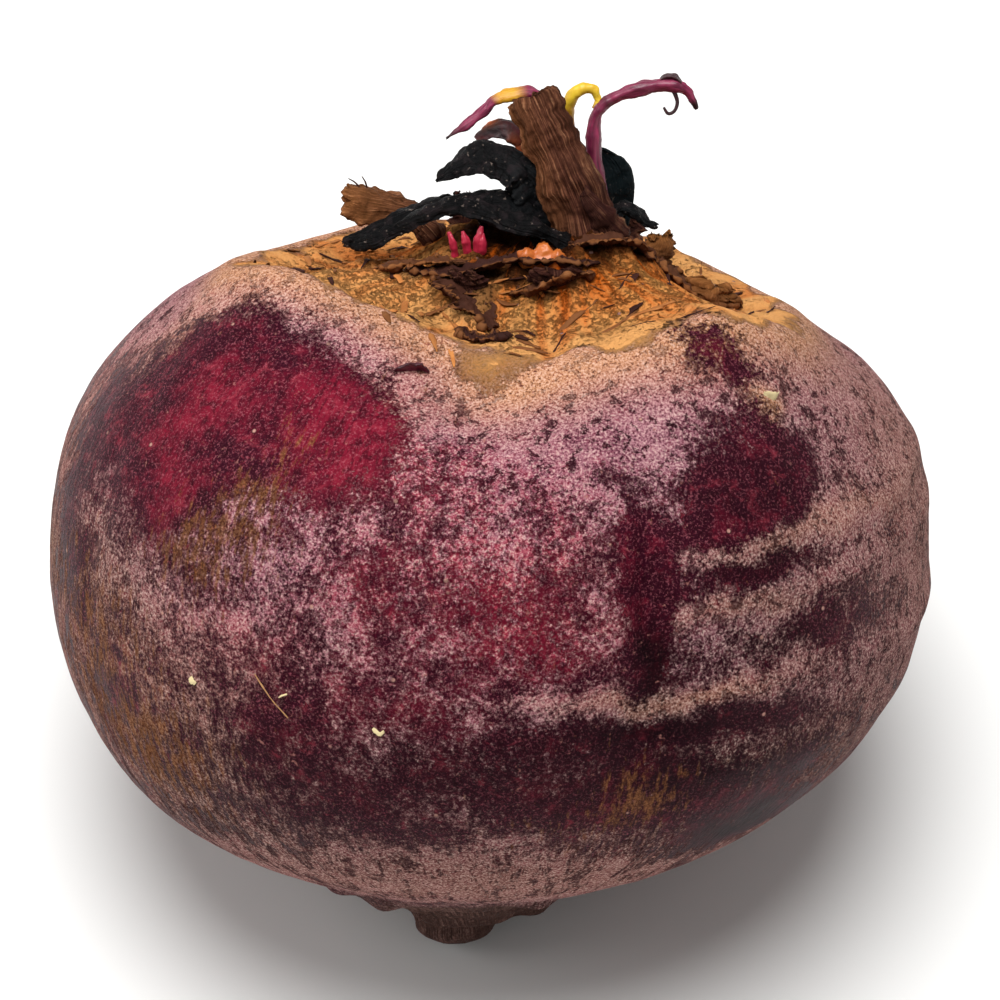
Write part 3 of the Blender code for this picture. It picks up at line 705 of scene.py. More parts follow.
# Dry beet stalk: bundles of fibre with pith dried between them. Ochre strands, 0.3 mm
# wide, stand out of dark red-brown with 2 mm patches, and nothing shines.
dry_stalk = new_material("dry_fibrous_beet_stalk")
along_level, across_level, shadow_level, ochre_level = (
    node(dry_stalk, "Attribute", attribute_name=name)["Fac"]
    for name in ("along", "across", "shadow", "ochre"))
strand_place = node(dry_stalk, "CombineXYZ", {
    "X": node(dry_stalk, "Math", {0: across_level, 1: 8.0}, operation="MULTIPLY")[0],
    "Y": node(dry_stalk, "Math", {0: along_level, 1: 2.2}, operation="MULTIPLY")[0],
})[0]
strand = node(dry_stalk, "TexNoise", {
    "Vector": strand_place, "Scale": 1.6, "Detail": 7, "Roughness": 0.7, "Distortion": 0.15,
})["Fac"]
dry_patch = node(dry_stalk, "TexNoise", {
    "Vector": node(dry_stalk, "TexCoord")["Object"], "Scale": 420, "Detail": 5, "Roughness": 0.65,
})["Fac"]
dry_colour = node(dry_stalk, "ValToRGB", {0: strand})
ramp_stops = dry_colour[0].node.color_ramp
for place, code in ((0.32, "#100706"), (0.43, "#351a13"), (0.51, "#573128"), (0.59, "#84563f"),
                    (0.7, "#bd8f6b")):
    stop = ramp_stops.elements.new(place)
    stop.color = colour(code)
ramp_stops.elements.remove(ramp_stops.elements[0])
ramp_stops.elements.remove(ramp_stops.elements[-1])
patch_share = node(dry_stalk, "MapRange", {0: dry_patch, 1: 0.47, 2: 0.66, 4: 0.75})[0]
ochre_strands = node(dry_stalk, "Mix", {0: strand, 6: "#4a200c", 7: "#d08a48"}, data_type="RGBA")[2]
dry_mix = dry_colour[0]
# Each piece's shadow level paints shade on its darker side and foot, and its other level mixes in pale
# strands that are partly painted light.
for share, over in ((patch_share, "#3a1d18"), (shadow_level, "#2b1210"), (ochre_level, ochre_strands)):
    dry_mix = node(dry_stalk, "Mix", {0: share, 6: dry_mix, 7: over}, data_type="RGBA")[2]
dry_height = node(dry_stalk, "Math", {0: strand, 1: dry_patch}, operation="ADD")[0]
node(dry_stalk, "OutputMaterial", {"Surface": node(dry_stalk, "BsdfPrincipled", {
    "Base Color": dry_mix,
    "Roughness": node(dry_stalk, "MapRange", {0: strand, 3: 0.85, 4: 0.6})[0],
    "Specular IOR Level": 0.08,
    "Normal": node(dry_stalk, "Bump", {"Strength": 0.9, "Distance": 0.5 * MM, "Height": dry_height})[0],
})["BSDF"]})

brown_stalk = strip(
    on_crown([(11.2, -3.0, -2.5), (9.9, -3.9, 4.0), (7.8, -4.1, 9.6), (5.9, -3.9, 14.0),
              (4.5, -3.4, 17.2)]),
    (4.6, 3.6, 3.3, 3.1, 2.8), 0.30, 0.22, ring=64, steps=90, torn=1.2, uneven=0.12, seed=2.0)
crumple(brown_stalk, dents=((5, 0.5), (1.6, 0.26), (0.8, 0.12)), ribs=(4.0, 0.35), seed=4.0)
# Painted shade on the right and low down; painted light with the pale strands on the left and towards the
# top.
shaded(brown_stalk, shadow=lambda s, w, p: 0.75 * (w - 0.1) + 0.5 * (0.25 - s),
       ochre=lambda s, w, p: 0.2 * max(0, -w) + 0.1 * s)
torn_nub = strip(
    on_crown([(8.0, -2.6, 10.4), (6.9, -2.8, 13.6), (6.3, -3.2, 15.8), (6.1, -3.4, 16.3)],
             foot=(11.2, -3.0)),
    (1.2, 1.35, 1.25, 0.6), 0.75, 0.1, ring=24, steps=30, seed=5.0)
crumple(torn_nub, dents=((2, 0.35),), ribs=(3, 0.2), seed=6.0)
# Painted shade on the right, and a little painted light all over.
shaded(torn_nub, shadow=lambda s, w, p: 0.3 * w, ochre=lambda s, w, p: 0.1)
ragged_foot = strip(
    on_crown([(14.6, -3.6, -1.5), (13.6, -5.0, 1.0), (11.8, -5.6, 3.4), (10.2, -5.4, 5.6)]),
    (1.6, 1.8, 1.5, 0.7), 0.4, 0.3, ring=24, steps=40, torn=1.0, seed=8.0)
crumple(ragged_foot, dents=((2.2, 0.5), (0.9, 0.2)), ribs=(3, 0.25), seed=9.0)
# Painted shade over the whole foot.
shaded(ragged_foot, shadow=lambda s, w, p: 0.6, ochre=lambda s, w, p: 0)
finished("broad_dry_stalk", [brown_stalk, torn_nub, ragged_foot], dry_stalk, "brown_stalk")

# ---------------------------------------------------------------------------------------
# Fresh leaf stalks: three young ones left between the dead leaves. Two are red and one
# yellow; their torn tips have shrivelled and gone dark.

# Living beet stalk: wet red flesh under a thin smooth skin, with fine ribs along it. The
# red fades to yellow on the left stalk's upper side and dries to brown at the tips.
fresh_red = new_material("fresh_red_beet_stalk")
along_level, across_level, golden_level, withered_level = (
    node(fresh_red, "Attribute", attribute_name=name)["Fac"]
    for name in ("along", "across", "golden", "withered"))
rib_place = node(fresh_red, "CombineXYZ", {
    "X": node(fresh_red, "Math", {0: across_level, 1: 2.6}, operation="MULTIPLY")[0],
    "Y": node(fresh_red, "Math", {0: along_level, 1: 5.0}, operation="MULTIPLY")[0],
})[0]
rib = node(fresh_red, "TexNoise", {"Vector": rib_place, "Scale": 1.5, "Detail": 5, "Roughness": 0.6})["Fac"]
golden_flesh = node(fresh_red, "Mix", {0: rib, 6: "#b86418", 7: "#e8bf2c"}, data_type="RGBA")[2]
red_flesh = node(fresh_red, "Mix", {
    0: node(fresh_red, "MapRange", {0: rib, 1: 0.38, 2: 0.68})[0], 6: "#5c1230", 7: "#a3365c",
}, data_type="RGBA")[2]
for share, over in ((golden_level, golden_flesh), (withered_level, "#2a1416")):
    red_flesh = node(fresh_red, "Mix", {0: share, 6: red_flesh, 7: over}, data_type="RGBA")[2]
node(fresh_red, "OutputMaterial", {"Surface": node(fresh_red, "BsdfPrincipled", {
    "Base Color": red_flesh,
    "Roughness": node(fresh_red, "MapRange", {0: rib, 3: 0.3, 4: 0.55})[0],
    "Subsurface Weight": 0.08,
    "Subsurface Radius": (0.002, 0.0006, 0.0005),
    "Subsurface Scale": 0.5,
    "Normal": node(fresh_red, "Bump", {"Strength": 0.5, "Distance": 0.3 * MM, "Height": rib})[0],
})["BSDF"]})

left_stalk = strip(
    on_crown([(7.2, 3.4, -2.0), (6.6, 2.8, 8.0), (5.6, 1.6, 13.8), (4.6, 1.0, 15.4), (3.0, 0.7, 15.4),
              (1.2, 0.4, 15.1), (0.2, 0.2, 14.6), (-0.7, 0.0, 13.5), (-2.7, -0.6, 12.1),
              (-4.8, -1.2, 10.8)]),
    (1.2, 1.1, 1.0, 0.8, 0.75, 0.75, 0.62, 0.5, 0.52, 0.46, 0.22), 0.72, 0.15, side=(0, 1, 0.2), ring=24,
    steps=90, torn=0.6)
crumple(left_stalk, dents=((3, 0.25), (1.2, 0.12)), ribs=(2, 0.12), seed=12.0)
shaded(left_stalk,
       golden=lambda s, w, p: 1.5 - abs(s - 0.52) / 0.1,
       withered=lambda s, w, p: max((s - 0.88) / 0.1, 0.5 * (0.3 - s) / 0.3))
finished("red_stalk_left_visual", [left_stalk], fresh_red, "red_stalk_left")

right_stalk = strip(
    on_crown([(12.6, 1.8, -2.0), (11.7, 1.0, 5.0), (11.4, 0.2, 10.4), (11.8, 0.0, 13.0), (13.4, 0.0, 14.7),
              (16.2, 0.0, 15.8), (19.2, 0.0, 16.3), (21.3, 0.0, 15.8), (22.4, 0.0, 14.5),
              (22.8, 0.0, 13.6)]),
    (1.3, 1.3, 1.0, 0.8, 0.7, 0.95, 0.95, 0.8, 0.62, 0.3), 0.8, 0.1, side=(0.3, 1, 0), ring=24, steps=100)
crumple(right_stalk, dents=((3, 0.22), (1.0, 0.12)), ribs=(2, 0.14), seed=14.0)
shaded(right_stalk, golden=lambda s, w, p: 0,
       withered=lambda s, w, p: max((s - 0.84) / 0.08, 0.6 - abs(s - 0.42) / 0.07, 0.6 * (0.28 - s) / 0.28))
stalk_flap = strip(
    on_crown([(18.4, 0.0, 16.5), (19.3, 0.0, 17.2), (20.4, -0.2, 17.2), (21.1, -0.3, 16.4)],
             foot=(12.6, 1.8)),
    (0.4, 0.7, 0.7, 0.3), 0.3, 0.3, side=(0, 1, 0), ring=14, steps=24, torn=0.4, seed=3.0)
crumple(stalk_flap, dents=((1, 0.15),), seed=15.0)
shaded(stalk_flap, golden=lambda s, w, p: 0, withered=lambda s, w, p: 0.9)
tendril = strip(
    on_crown([(20.2, 0.0, 15.6), (20.6, -0.1, 14.4), (20.3, -0.2, 13.4), (19.6, -0.2, 13.1),
              (19.1, -0.2, 13.8)],
             foot=(12.6, 1.8)),
    (0.28, 0.22, 0.2, 0.2, 0.14), 1.0, side=(0, 1, 0), ring=10, steps=30)
shaded(tendril, golden=lambda s, w, p: 0, withered=lambda s, w, p: 0.95)
finished("red_stalk_right_visual", [right_stalk, stalk_flap, tendril], fresh_red, "red_stalk_right")

# A shoot kept yellow by the dark of the store: soft, smooth and juicy, in 1 mm clouds of colour.
fresh_yellow = new_material("fresh_yellow_beet_shoot")
pale = node(fresh_yellow, "TexNoise", {
    "Vector": node(fresh_yellow, "TexCoord")["Object"], "Scale": 900, "Detail": 4, "Roughness": 0.6,
})["Fac"]
tint = node(fresh_yellow, "Mix", {0: pale, 6: "#c98a14", 7: "#f0d83a"}, data_type="RGBA")[2]
tint = node(fresh_yellow, "Mix", {
    0: node(fresh_yellow, "Attribute", attribute_name="withered")["Fac"], 6: tint, 7: "#8a4318",
}, data_type="RGBA")[2]
node(fresh_yellow, "OutputMaterial", {"Surface": node(fresh_yellow, "BsdfPrincipled", {
    "Base Color": tint,
    "Roughness": node(fresh_yellow, "MapRange", {0: pale, 3: 0.35, 4: 0.55})[0],
    "Normal": node(fresh_yellow, "Bump", {"Strength": 0.4, "Distance": 0.2 * MM, "Height": pale})[0],
})["BSDF"]})
yellow_shoot = strip(
    on_crown([(10.0, 5.0, -2.0), (9.4, 3.8, 8.0), (8.6, 2.7, 12.4), (8.9, 2.0, 14.8), (10.0, 1.8, 15.9),
              (11.4, 1.8, 15.9), (11.9, 1.7, 14.8), (11.4, 1.6, 13.8)]),
    (0.8, 0.75, 0.75, 0.8, 0.75, 0.6, 0.5, 0.3), 0.8, 0.1, ring=20, steps=80)
crumple(yellow_shoot, dents=((2, 0.2), (0.8, 0.08)), seed=17.0)
shaded(yellow_shoot, withered=lambda s, w, p: max((s - 0.9) / 0.1, 0.9 * (0.45 - s) / 0.2))
finished("yellow_shoot_visual", [yellow_shoot], fresh_yellow, "yellow_shoot")

# ---------------------------------------------------------------------------------------
# Withered leaves and strips: rotted and dried on the crown, nearly black, shrunk into folds
# and wrinkles round their midribs.

# Rotted beet leaf: thin tissue collapsed to a leathery film in 1.4 mm wrinkles. It is almost
# black with brown scuffs of 0.5 mm, and a slight gloss on the folds shows how tight it is.
withered_black = new_material("withered_black_beet_leaf")
black_here = node(withered_black, "TexCoord")["Object"]
wrinkle = node(withered_black, "TexNoise", {
    "Vector": black_here, "Scale": 700, "Detail": 7, "Roughness": 0.66, "Distortion": 0.5,
})["Fac"]
along_level, across_level, bluish_level = (
    node(withered_black, "Attribute", attribute_name=name)["Fac"] for name in ("along", "across", "bluish"))
vein_place = node(withered_black, "CombineXYZ", {
    "X": node(withered_black, "Math", {0: across_level, 1: 3.2}, operation="MULTIPLY")[0], "Y": along_level,
})[0]
vein = node(withered_black, "TexNoise", {
    "Vector": vein_place, "Scale": 2.4, "Detail": 5, "Roughness": 0.6,
})["Fac"]
scuff = node(withered_black, "TexNoise", {"Vector": black_here, "Scale": 1900, "Detail": 2})["Fac"]
black_colour = "#070506"
for pattern, low, high, amount, code in (
    (wrinkle, 0.5, 0.72, 1, "#2a2022"),
    (bluish_level, 0, 1, 0.8, "#0e1a1d"),
    (scuff, 0.66, 0.74, 0.6, "#8a7a70"),
):
    black_colour = node(withered_black, "Mix", {
        0: node(withered_black, "MapRange", {0: pattern, 1: low, 2: high, 4: amount})[0],
        6: black_colour, 7: code,
    }, data_type="RGBA")[2]
node(withered_black, "OutputMaterial", {"Surface": node(withered_black, "BsdfPrincipled", {
    "Base Color": black_colour,
    "Roughness": node(withered_black, "MapRange", {0: wrinkle, 1: 0.3, 2: 0.7, 3: 0.38, 4: 0.7})[0],
    "Specular IOR Level": 0.12,
    "Normal": node(withered_black, "Bump", {
        "Strength": 0.9,
        "Distance": 0.5 * MM,
        "Height": node(withered_black, "Math", {0: wrinkle, 1: vein}, operation="ADD")[0],
    })[0],
})["BSDF"]})

curled_leaf = strip(
    on_crown([(5.4, 0.0, -2.0), (4.2, -0.6, 3.4), (2.2, -1.0, 6.6), (-0.8, -1.4, 7.6), (-3.4, -1.8, 6.6),
              (-5.8, -2.2, 5.0)]),
    (3.2, 4.0, 4.2, 3.4, 2.0, 0.3), 0.13, 0.66, side=(0, 1, -0.25), ring=56, steps=80, uneven=0.25,
    seed=3.0)
crumple(curled_leaf, dents=((6, 0.9), (2.2, 0.4), (0.9, 0.12)), ribs=(2.5, 0.35), seed=22.0)
leaf_fold = strip(
    on_crown([(6.5, -2.6, -1.5), (4.6, -3.2, 1.5), (1.8, -3.4, 3.4), (-1.2, -3.2, 3.8), (-3.6, -2.8, 3.2)]),
    (2.2, 2.6, 2.6, 1.8, 0.4), 0.16, 0.5, side=(0, 1, 0.6), ring=40, steps=60, seed=4.0)
crumple(leaf_fold, dents=((3.5, 0.6), (1.2, 0.2)), ribs=(3, 0.3), seed=23.0)
inner_fold = strip(
    on_crown([(8.5, -1.8, -1.5), (7.4, -2.4, 3.0), (6.0, -2.6, 6.4), (4.0, -2.4, 8.2), (2.6, -2.0, 8.0)]),
    (2.6, 2.8, 2.4, 1.6, 0.4), 0.16, 0.4, side=(1, 0.5, 0), ring=40, steps=60, seed=5.0)
crumple(inner_fold, dents=((3.5, 0.6), (1.2, 0.2)), ribs=(3, 0.3), seed=24.0)
for part in (curled_leaf, leaf_fold, inner_fold):
    shaded(part, bluish=lambda s, w, p: 0.25 if p.x > 2 else 0.1)
finished("black_leaf_left_visual", [curled_leaf, leaf_fold, inner_fold], withered_black, "black_leaf_left")

low_strap = strip(
    on_crown([(8.4, -5.6, -0.6), (5.4, -6.2, 1.0), (2.2, -6.0, 1.9), (-1.2, -5.8, 3.2), (-4.2, -5.4, 3.6),
              (-7.0, -4.8, 2.4), (-10.0, -4.0, 0.8), (-12.8, -3.2, -0.6), (-15.4, -2.4, -1.4)]),
    (1.2, 1.3, 1.2, 1.3, 1.4, 1.35, 1.3, 1.2, 0.5), 0.5, 0.35, side=(0, 1, 0.5), ring=28, steps=120,
    torn=0.8, uneven=0.3)
crumple(low_strap, dents=((4, 0.5), (1.4, 0.28), (0.6, 0.08)), ribs=(2.4, 0.35), seed=26.0)
shaded(low_strap, bluish=lambda s, w, p: 0.1)
finished("black_strap_low_visual", [low_strap], withered_black, "black_strap_low")

high_strap = strip(
    on_crown([(0.6, 1.6, -1.5), (-1.4, 0.2, 2.2), (-4.0, -0.8, 3.0), (-6.6, -1.2, 2.8), (-9.2, -1.2, 2.0),
              (-11.6, -1.4, 0.8), (-14.0, -1.6, -0.4), (-16.0, -1.6, -1.2)]),
    (1.3, 1.3, 1.3, 1.2, 1.2, 1.15, 1.0, 0.5), 0.5, 0.3, side=(0, 1, 0.3), twist=30, ring=28, steps=110,
    torn=0.8, seed=2.0)
crumple(high_strap, dents=((4, 0.5), (1.4, 0.25), (0.6, 0.08)), ribs=(2.4, 0.3), seed=27.0)
shaded(high_strap, bluish=lambda s, w, p: 0.1)
finished("black_strap_high_visual", [high_strap], withered_black, "black_strap_high")

right_leaf = strip(
    on_crown([(12.4, 6.0, -2.0), (13.0, 5.2, 1.6), (13.2, 4.6, 4.6), (12.8, 4.2, 7.6), (12.0, 4.0, 9.4),
              (11.4, 4.0, 10.0)]),
    (1.8, 2.7, 3.0, 2.7, 1.7, 0.5), 0.22, -0.42, side=(1, 0.4, 0), ring=44, steps=70, seed=6.0)
crumple(right_leaf, dents=((5, 0.5), (1.8, 0.15)), ribs=(1.5, 0.12), seed=28.0)
shaded(right_leaf, bluish=lambda s, w, p: 1.0)
finished("black_leaf_right_visual", [right_leaf], withered_black, "black_leaf_right")

right_stub = strip(
    on_crown([(12.8, -0.4, -1.0), (14.4, -0.6, 2.2), (16.0, -0.8, 1.9), (17.2, -1.0, 0.9),
              (18.4, -1.2, 0.6)]),
    (1.5, 1.4, 1.2, 1.0, 0.5), 0.55, 0.2, side=(0, 1, 0.2), ring=26, steps=50, torn=0.8, seed=8.0)
crumple(right_stub, dents=((2.4, 0.5), (1, 0.2)), ribs=(2.5, 0.25), seed=29.0)
shaded(right_stub, bluish=lambda s, w, p: 0.2)
finished("dark_stub_right_visual", [right_stub], withered_black, "dark_stub_right")

# Withered red leaf: not yet rotted, so dark red-brown in 2 mm patches, with orange underneath.
withered_red = new_material("withered_red_beet_leaf")
red_patch = node(withered_red, "TexNoise", {
    "Vector": node(withered_red, "TexCoord")["Object"], "Scale": 520, "Detail": 6, "Roughness": 0.65,
})["Fac"]
wither_mix = node(withered_red, "Mix", {
    0: node(withered_red, "MapRange", {0: red_patch, 1: 0.4, 2: 0.65})[0], 6: "#230c10", 7: "#5a1e22",
}, data_type="RGBA")[2]
wither_mix = node(withered_red, "Mix", {
    0: node(withered_red, "Attribute", attribute_name="glow")["Fac"], 6: wither_mix, 7: "#b4571d",
}, data_type="RGBA")[2]
node(withered_red, "OutputMaterial", {"Surface": node(withered_red, "BsdfPrincipled", {
    "Base Color": wither_mix,
    "Roughness": node(withered_red, "MapRange", {0: red_patch, 3: 0.45, 4: 0.75})[0],
    "Normal": node(withered_red, "Bump", {"Strength": 0.7, "Distance": 0.4 * MM, "Height": red_patch})[0],
})["BSDF"]})
hooded_leaf = strip(
    on_crown([(5.2, 5.6, -2.0), (5.0, 4.4, 4.6), (4.0, 3.4, 8.8), (2.2, 2.6, 11.0), (0.2, 2.2, 11.0),
              (-1.5, 2.0, 9.9)]),
    (1.6, 1.8, 2.0, 2.0, 1.6, 0.4), 0.16, 0.6, side=(0, 1, 0.1), ring=40, steps=70, seed=4.0)
crumple(hooded_leaf, dents=((3, 0.4), (1.2, 0.15)), ribs=(2, 0.15), seed=31.0)
shaded(hooded_leaf, glow=lambda s, w, p: (0.9 - abs(s - 0.8) / 0.14) * (0.5 + w))
finished("small_dark_leaf_visual", [hooded_leaf], withered_red, "small_dark_leaf")

# ---------------------------------------------------------------------------------------
# Torn leaf feet: papery brown bases of the outer leaves, broken off round the mound. Each is
# a curled scale that grows out of the crown, with a ragged rim.

left_foot = strip(
    on_crown([(-5.0, 4.4, -1.4), (-8.2, 4.0, 2.4), (-11.2, 3.6, 3.8), (-14.2, 3.2, 4.4),
              (-15.8, 3.0, 4.7)]),
    (1.8, 2.0, 2.4, 2.8, 2.6), 0.16, 0.75, side=(0, 0.8, 0.6), ring=48, steps=70, torn=1.6, seed=5.0)
crumple(left_foot, dents=((3, 0.6), (1.1, 0.3)), ribs=(3.5, 0.3), seed=33.0)
# Painted light that grows towards the tip.
shaded(left_foot, shadow=lambda s, w, p: 0, ochre=lambda s, w, p: 0.5 * s)
hairs = [
    strip(on_crown(spine, foot=(-5.0, 4.4)), (0.12, 0.1, 0.05), 1.0, ring=8, steps=12)
    for spine in (
        [(-13.6, 3.4, 5.0), (-13.9, 3.4, 6.2), (-14.3, 3.4, 6.9)],
        [(-14.2, 3.2, 5.2), (-15.0, 3.2, 6.2), (-15.8, 3.2, 6.7)],
    )
]
finished("brown_stub_left_visual", [left_foot, *hairs], dry_stalk, "brown_stub_left")


def leaf_foot(name, around, distance, half_width, height, lean, seed, cad_node, faces=None):
    """A broken leaf base at an azimuth about the mound, leaning out and curled round it.

    The ones in plain sight have an azimuth that they face, and pale orange tips that are partly painted
    light; the others are in painted shade.
    """
    turn = math.radians(around)
    out, front = (math.sin(turn), -math.cos(turn)), math.radians(around if faces is None else faces)
    aside = (math.cos(front), math.sin(front), 0)
    x, y = MOUND[0] + out[0] * distance, MOUND[1] + out[1] * distance
    rise = [(x + out[0] * lean * s, y + out[1] * lean * s, -1.6 + (height + 1.6) * s)
            for s in (0, 0.35, 0.7, 1.0)]
    scale = strip(on_crown(rise), (half_width * 0.9, half_width, half_width * 0.95, half_width * 0.6),
                  0.2, 0.4, side=aside, ring=44, steps=44, torn=height * 0.7, uneven=0.4, seed=seed)
    crumple(scale, dents=((2.8, 0.6), (1.1, 0.3)), ribs=(4, 0.2), seed=seed + 40)
    # Painted shade on the feet out of plain sight; painted light on the tips of those in plain sight.
    shade, tip = (0.6, 0.0) if faces is None else (0.2, 0.7)
    shaded(scale, shadow=lambda s, w, p: shade, ochre=lambda s, w, p: tip * s)
    finished(name, [scale], dry_stalk, cad_node)


leaf_foot("leaf_foot_right", 84, 12.6, 2.3, 3.0, 1.0, 1.0, "leaf_base_right", faces=25)
leaf_foot("leaf_foot_far_right", 80, 18.4, 3.4, 1.8, 1.2, 2.0, "leaf_base_far_right", faces=10)
leaf_foot("leaf_foot_front", -36, 12.3, 2.6, 0.9, 2.2, 3.0, "leaf_base_front")
leaf_foot("leaf_foot_front_right", 8, 11.3, 3.0, 0.9, 2.6, 4.0, "leaf_base_front_right")
leaf_foot("leaf_foot_back", 176, 12.0, 3.6, 4.2, 1.6, 5.0, "leaf_base_back")
leaf_foot("leaf_foot_back_left", -150, 14.5, 3.0, 3.4, 1.6, 6.0, "leaf_base_back_left")
leaf_foot("leaf_foot_back_right", 142, 14.0, 3.3, 3.2, 1.6, 7.0, "leaf_base_back_right")

# Bud tips: new leaves just showing between the dead feet, tight, smooth and full of sap. Their
# folds make soft bands 1.3 mm apart.
bud_skins = []
for name, scale, detail, dark, light, smooth, dull, depth in (
    ("red_beet_bud", 800, 4, "#7a0c20", "#cf2f4c", 0.25, 0.45, 0.0002),
    ("orange_beet_bud", 700, 5, "#8a3410", "#dd7d32", 0.3, 0.5, 0.0003),
):
    bud = new_material(name)
    fold = node(bud, "TexNoise", {
        "Vector": node(bud, "TexCoord")["Object"], "Scale": scale, "Detail": detail,
    })["Fac"]
    node(bud, "OutputMaterial", {"Surface": node(bud, "BsdfPrincipled", {
        "Base Color": node(bud, "Mix", {0: fold, 6: dark, 7: light}, data_type="RGBA")[2],
        "Roughness": node(bud, "MapRange", {0: fold, 3: smooth, 4: dull})[0],
        "Normal": node(bud, "Bump", {"Strength": 0.4, "Distance": depth, "Height": fold})[0],
    })["BSDF"]})
    bud_skins.append(bud)
red_buds = []
for x, y, lean_x, tall, half, seed in ((-3.6, -5.4, -0.9, 2.7, 0.5, 1.0), (-1.5, -5.9, 0.6, 2.8, 0.62, 2.0),
                                       (-0.9, -6.1, 0.2, 2.1, 0.5, 3.0),
                                       (-2.3, -6.2, -0.7, 2.3, 0.55, 4.0)):
    rise = [(x, y, -1.0), (x + lean_x * 0.5, y - 0.6, tall * 0.5), (x + lean_x, y - 0.4, tall)]
    tip = strip(on_crown(rise), (half * 0.85, half * 0.9, half * 0.25), 0.7, 0.2, ring=20, steps=30,
                seed=seed)
    red_buds.append(crumple(tip, dents=((1, 0.15),), ribs=(2, 0.1), seed=seed + 50))
finished("red_buds", red_buds, bud_skins[0], "red_bud")
orange_buds = []
for x, y, half, tall, seed in ((5.8, -9.4, 1.6, 2.6, 1.0), (4.2, -9.8, 1.1, 1.9, 2.0),
                               (7.2, -10.0, 1.0, 1.6, 3.0)):
    tip = strip(on_crown([(x, y, -1.0), (x, y - 0.3, tall * 0.4), (x, y - 0.2, tall)]),
                (half, half * 1.05, half * 0.35), 0.8, 0.0, ring=22, steps=26, seed=seed)
    orange_buds.append(crumple(tip, dents=((1.6, 0.4), (0.7, 0.12)), ribs=(2, 0.15), seed=seed + 60))
finished("orange_buds", orange_buds, bud_skins[1], "orange_bud")

# ---------------------------------------------------------------------------------------
# Litter on the crown: torn skins of old leaf bases, stuck flat to the cork round the mound.
# The big dark ones lie at the front; the small curled chips are everywhere.

# Dead leaf skin: thin, dry and brittle, dark brown where it has rotted, with tan edges and
# patches of 1.5 mm.
leaf_skin = new_material("torn_leaf_skin")
skin_patch = node(leaf_skin, "TexNoise", {
    "Vector": node(leaf_skin, "TexCoord")["Object"], "Scale": 650, "Detail": 6, "Roughness": 0.65,
})["Fac"]
skin_tone = node(leaf_skin, "Attribute", attribute_name="tone")["Fac"]
dark_skin = node(leaf_skin, "Mix", {0: skin_patch, 6: "#160b0b", 7: "#4a2820"}, data_type="RGBA")[2]
pale_skin = node(leaf_skin, "Mix", {0: skin_patch, 6: "#a3521a", 7: "#f0a660"}, data_type="RGBA")[2]
node(leaf_skin, "OutputMaterial", {"Surface": node(leaf_skin, "BsdfPrincipled", {
    "Base Color": node(leaf_skin, "Mix", {
        0: node(leaf_skin, "Attribute", attribute_name="bleached")["Fac"],
        6: node(leaf_skin, "Mix", {0: skin_tone, 6: dark_skin, 7: pale_skin}, data_type="RGBA")[2],
        7: "#dccb9c",
    }, data_type="RGBA")[2],
    "Roughness": node(leaf_skin, "MapRange", {0: skin_patch, 3: 0.6, 4: 0.85})[0],
    "Specular IOR Level": 0.1,
    "Normal": node(leaf_skin, "Bump", {"Strength": 0.8, "Distance": 0.4 * MM, "Height": skin_patch})[0],
})["BSDF"]})

litter = []
chance = np.random.default_rng(7)
for spine, widths, tone in (
    ([(-8.5, -7.6, 0.2), (-3.5, -9.6, 0.8), (2.0, -10.8, 1.0), (7.0, -11.2, 0.9), (11.5, -10.4, 0.3)],
     (0.6, 1.5, 1.7, 1.5, 0.5), 0.0),
    ([(-4.6, -10.6, 0.3), (-3.4, -13.0, 0.9), (-1.8, -15.6, 0.6), (0.4, -17.0, 0.2)], (1.6, 2.5, 2.2, 0.8),
     0.05),
    ([(2.6, -12.6, 0.4), (5.0, -14.2, 0.9), (8.0, -14.0, 0.8), (10.8, -12.2, 0.3)], (0.8, 1.6, 1.5, 0.6),
     0.15),
    ([(-3.2, -19.8, 0.2), (-1.0, -20.6, 0.6), (1.4, -20.8, 0.3)], (0.5, 1.0, 0.4), 0.0),
    ([(9.0, -6.8, 0.0), (12.6, -7.6, 1.0), (16.0, -6.6, 1.2), (18.8, -4.4, 0.6)], (1.0, 1.7, 1.6, 0.7),
     0.1),
    ([(-12.5, -4.8, 0.2), (-9.5, -6.6, 0.8), (-6.0, -7.6, 0.9), (-2.8, -8.2, 0.4)], (0.6, 1.3, 1.2, 0.5),
     0.2),
    ([(16.5, -4.6, 0.1), (20.5, -4.6, 0.9), (24.5, -3.6, 0.5), (27.5, -2.0, 0.2)], (0.8, 1.4, 1.2, 0.4),
     0.15),
):
    torn_skin = strip(on_crown(spine, hug=True), widths, 0.14, 0.3, side=(0.3, 1, 0), ring=36, steps=80,
                      torn=1.2, uneven=0.9, seed=float(len(litter)))
    crumple(torn_skin, dents=((2.2, 0.7), (0.9, 0.35)), ribs=(2.5, 0.25), seed=70.0 + len(litter))
    litter.append(shaded(torn_skin, tone=lambda s, w, p: 0.5 * tone + 0.2 * (abs(w) > 0.95)))
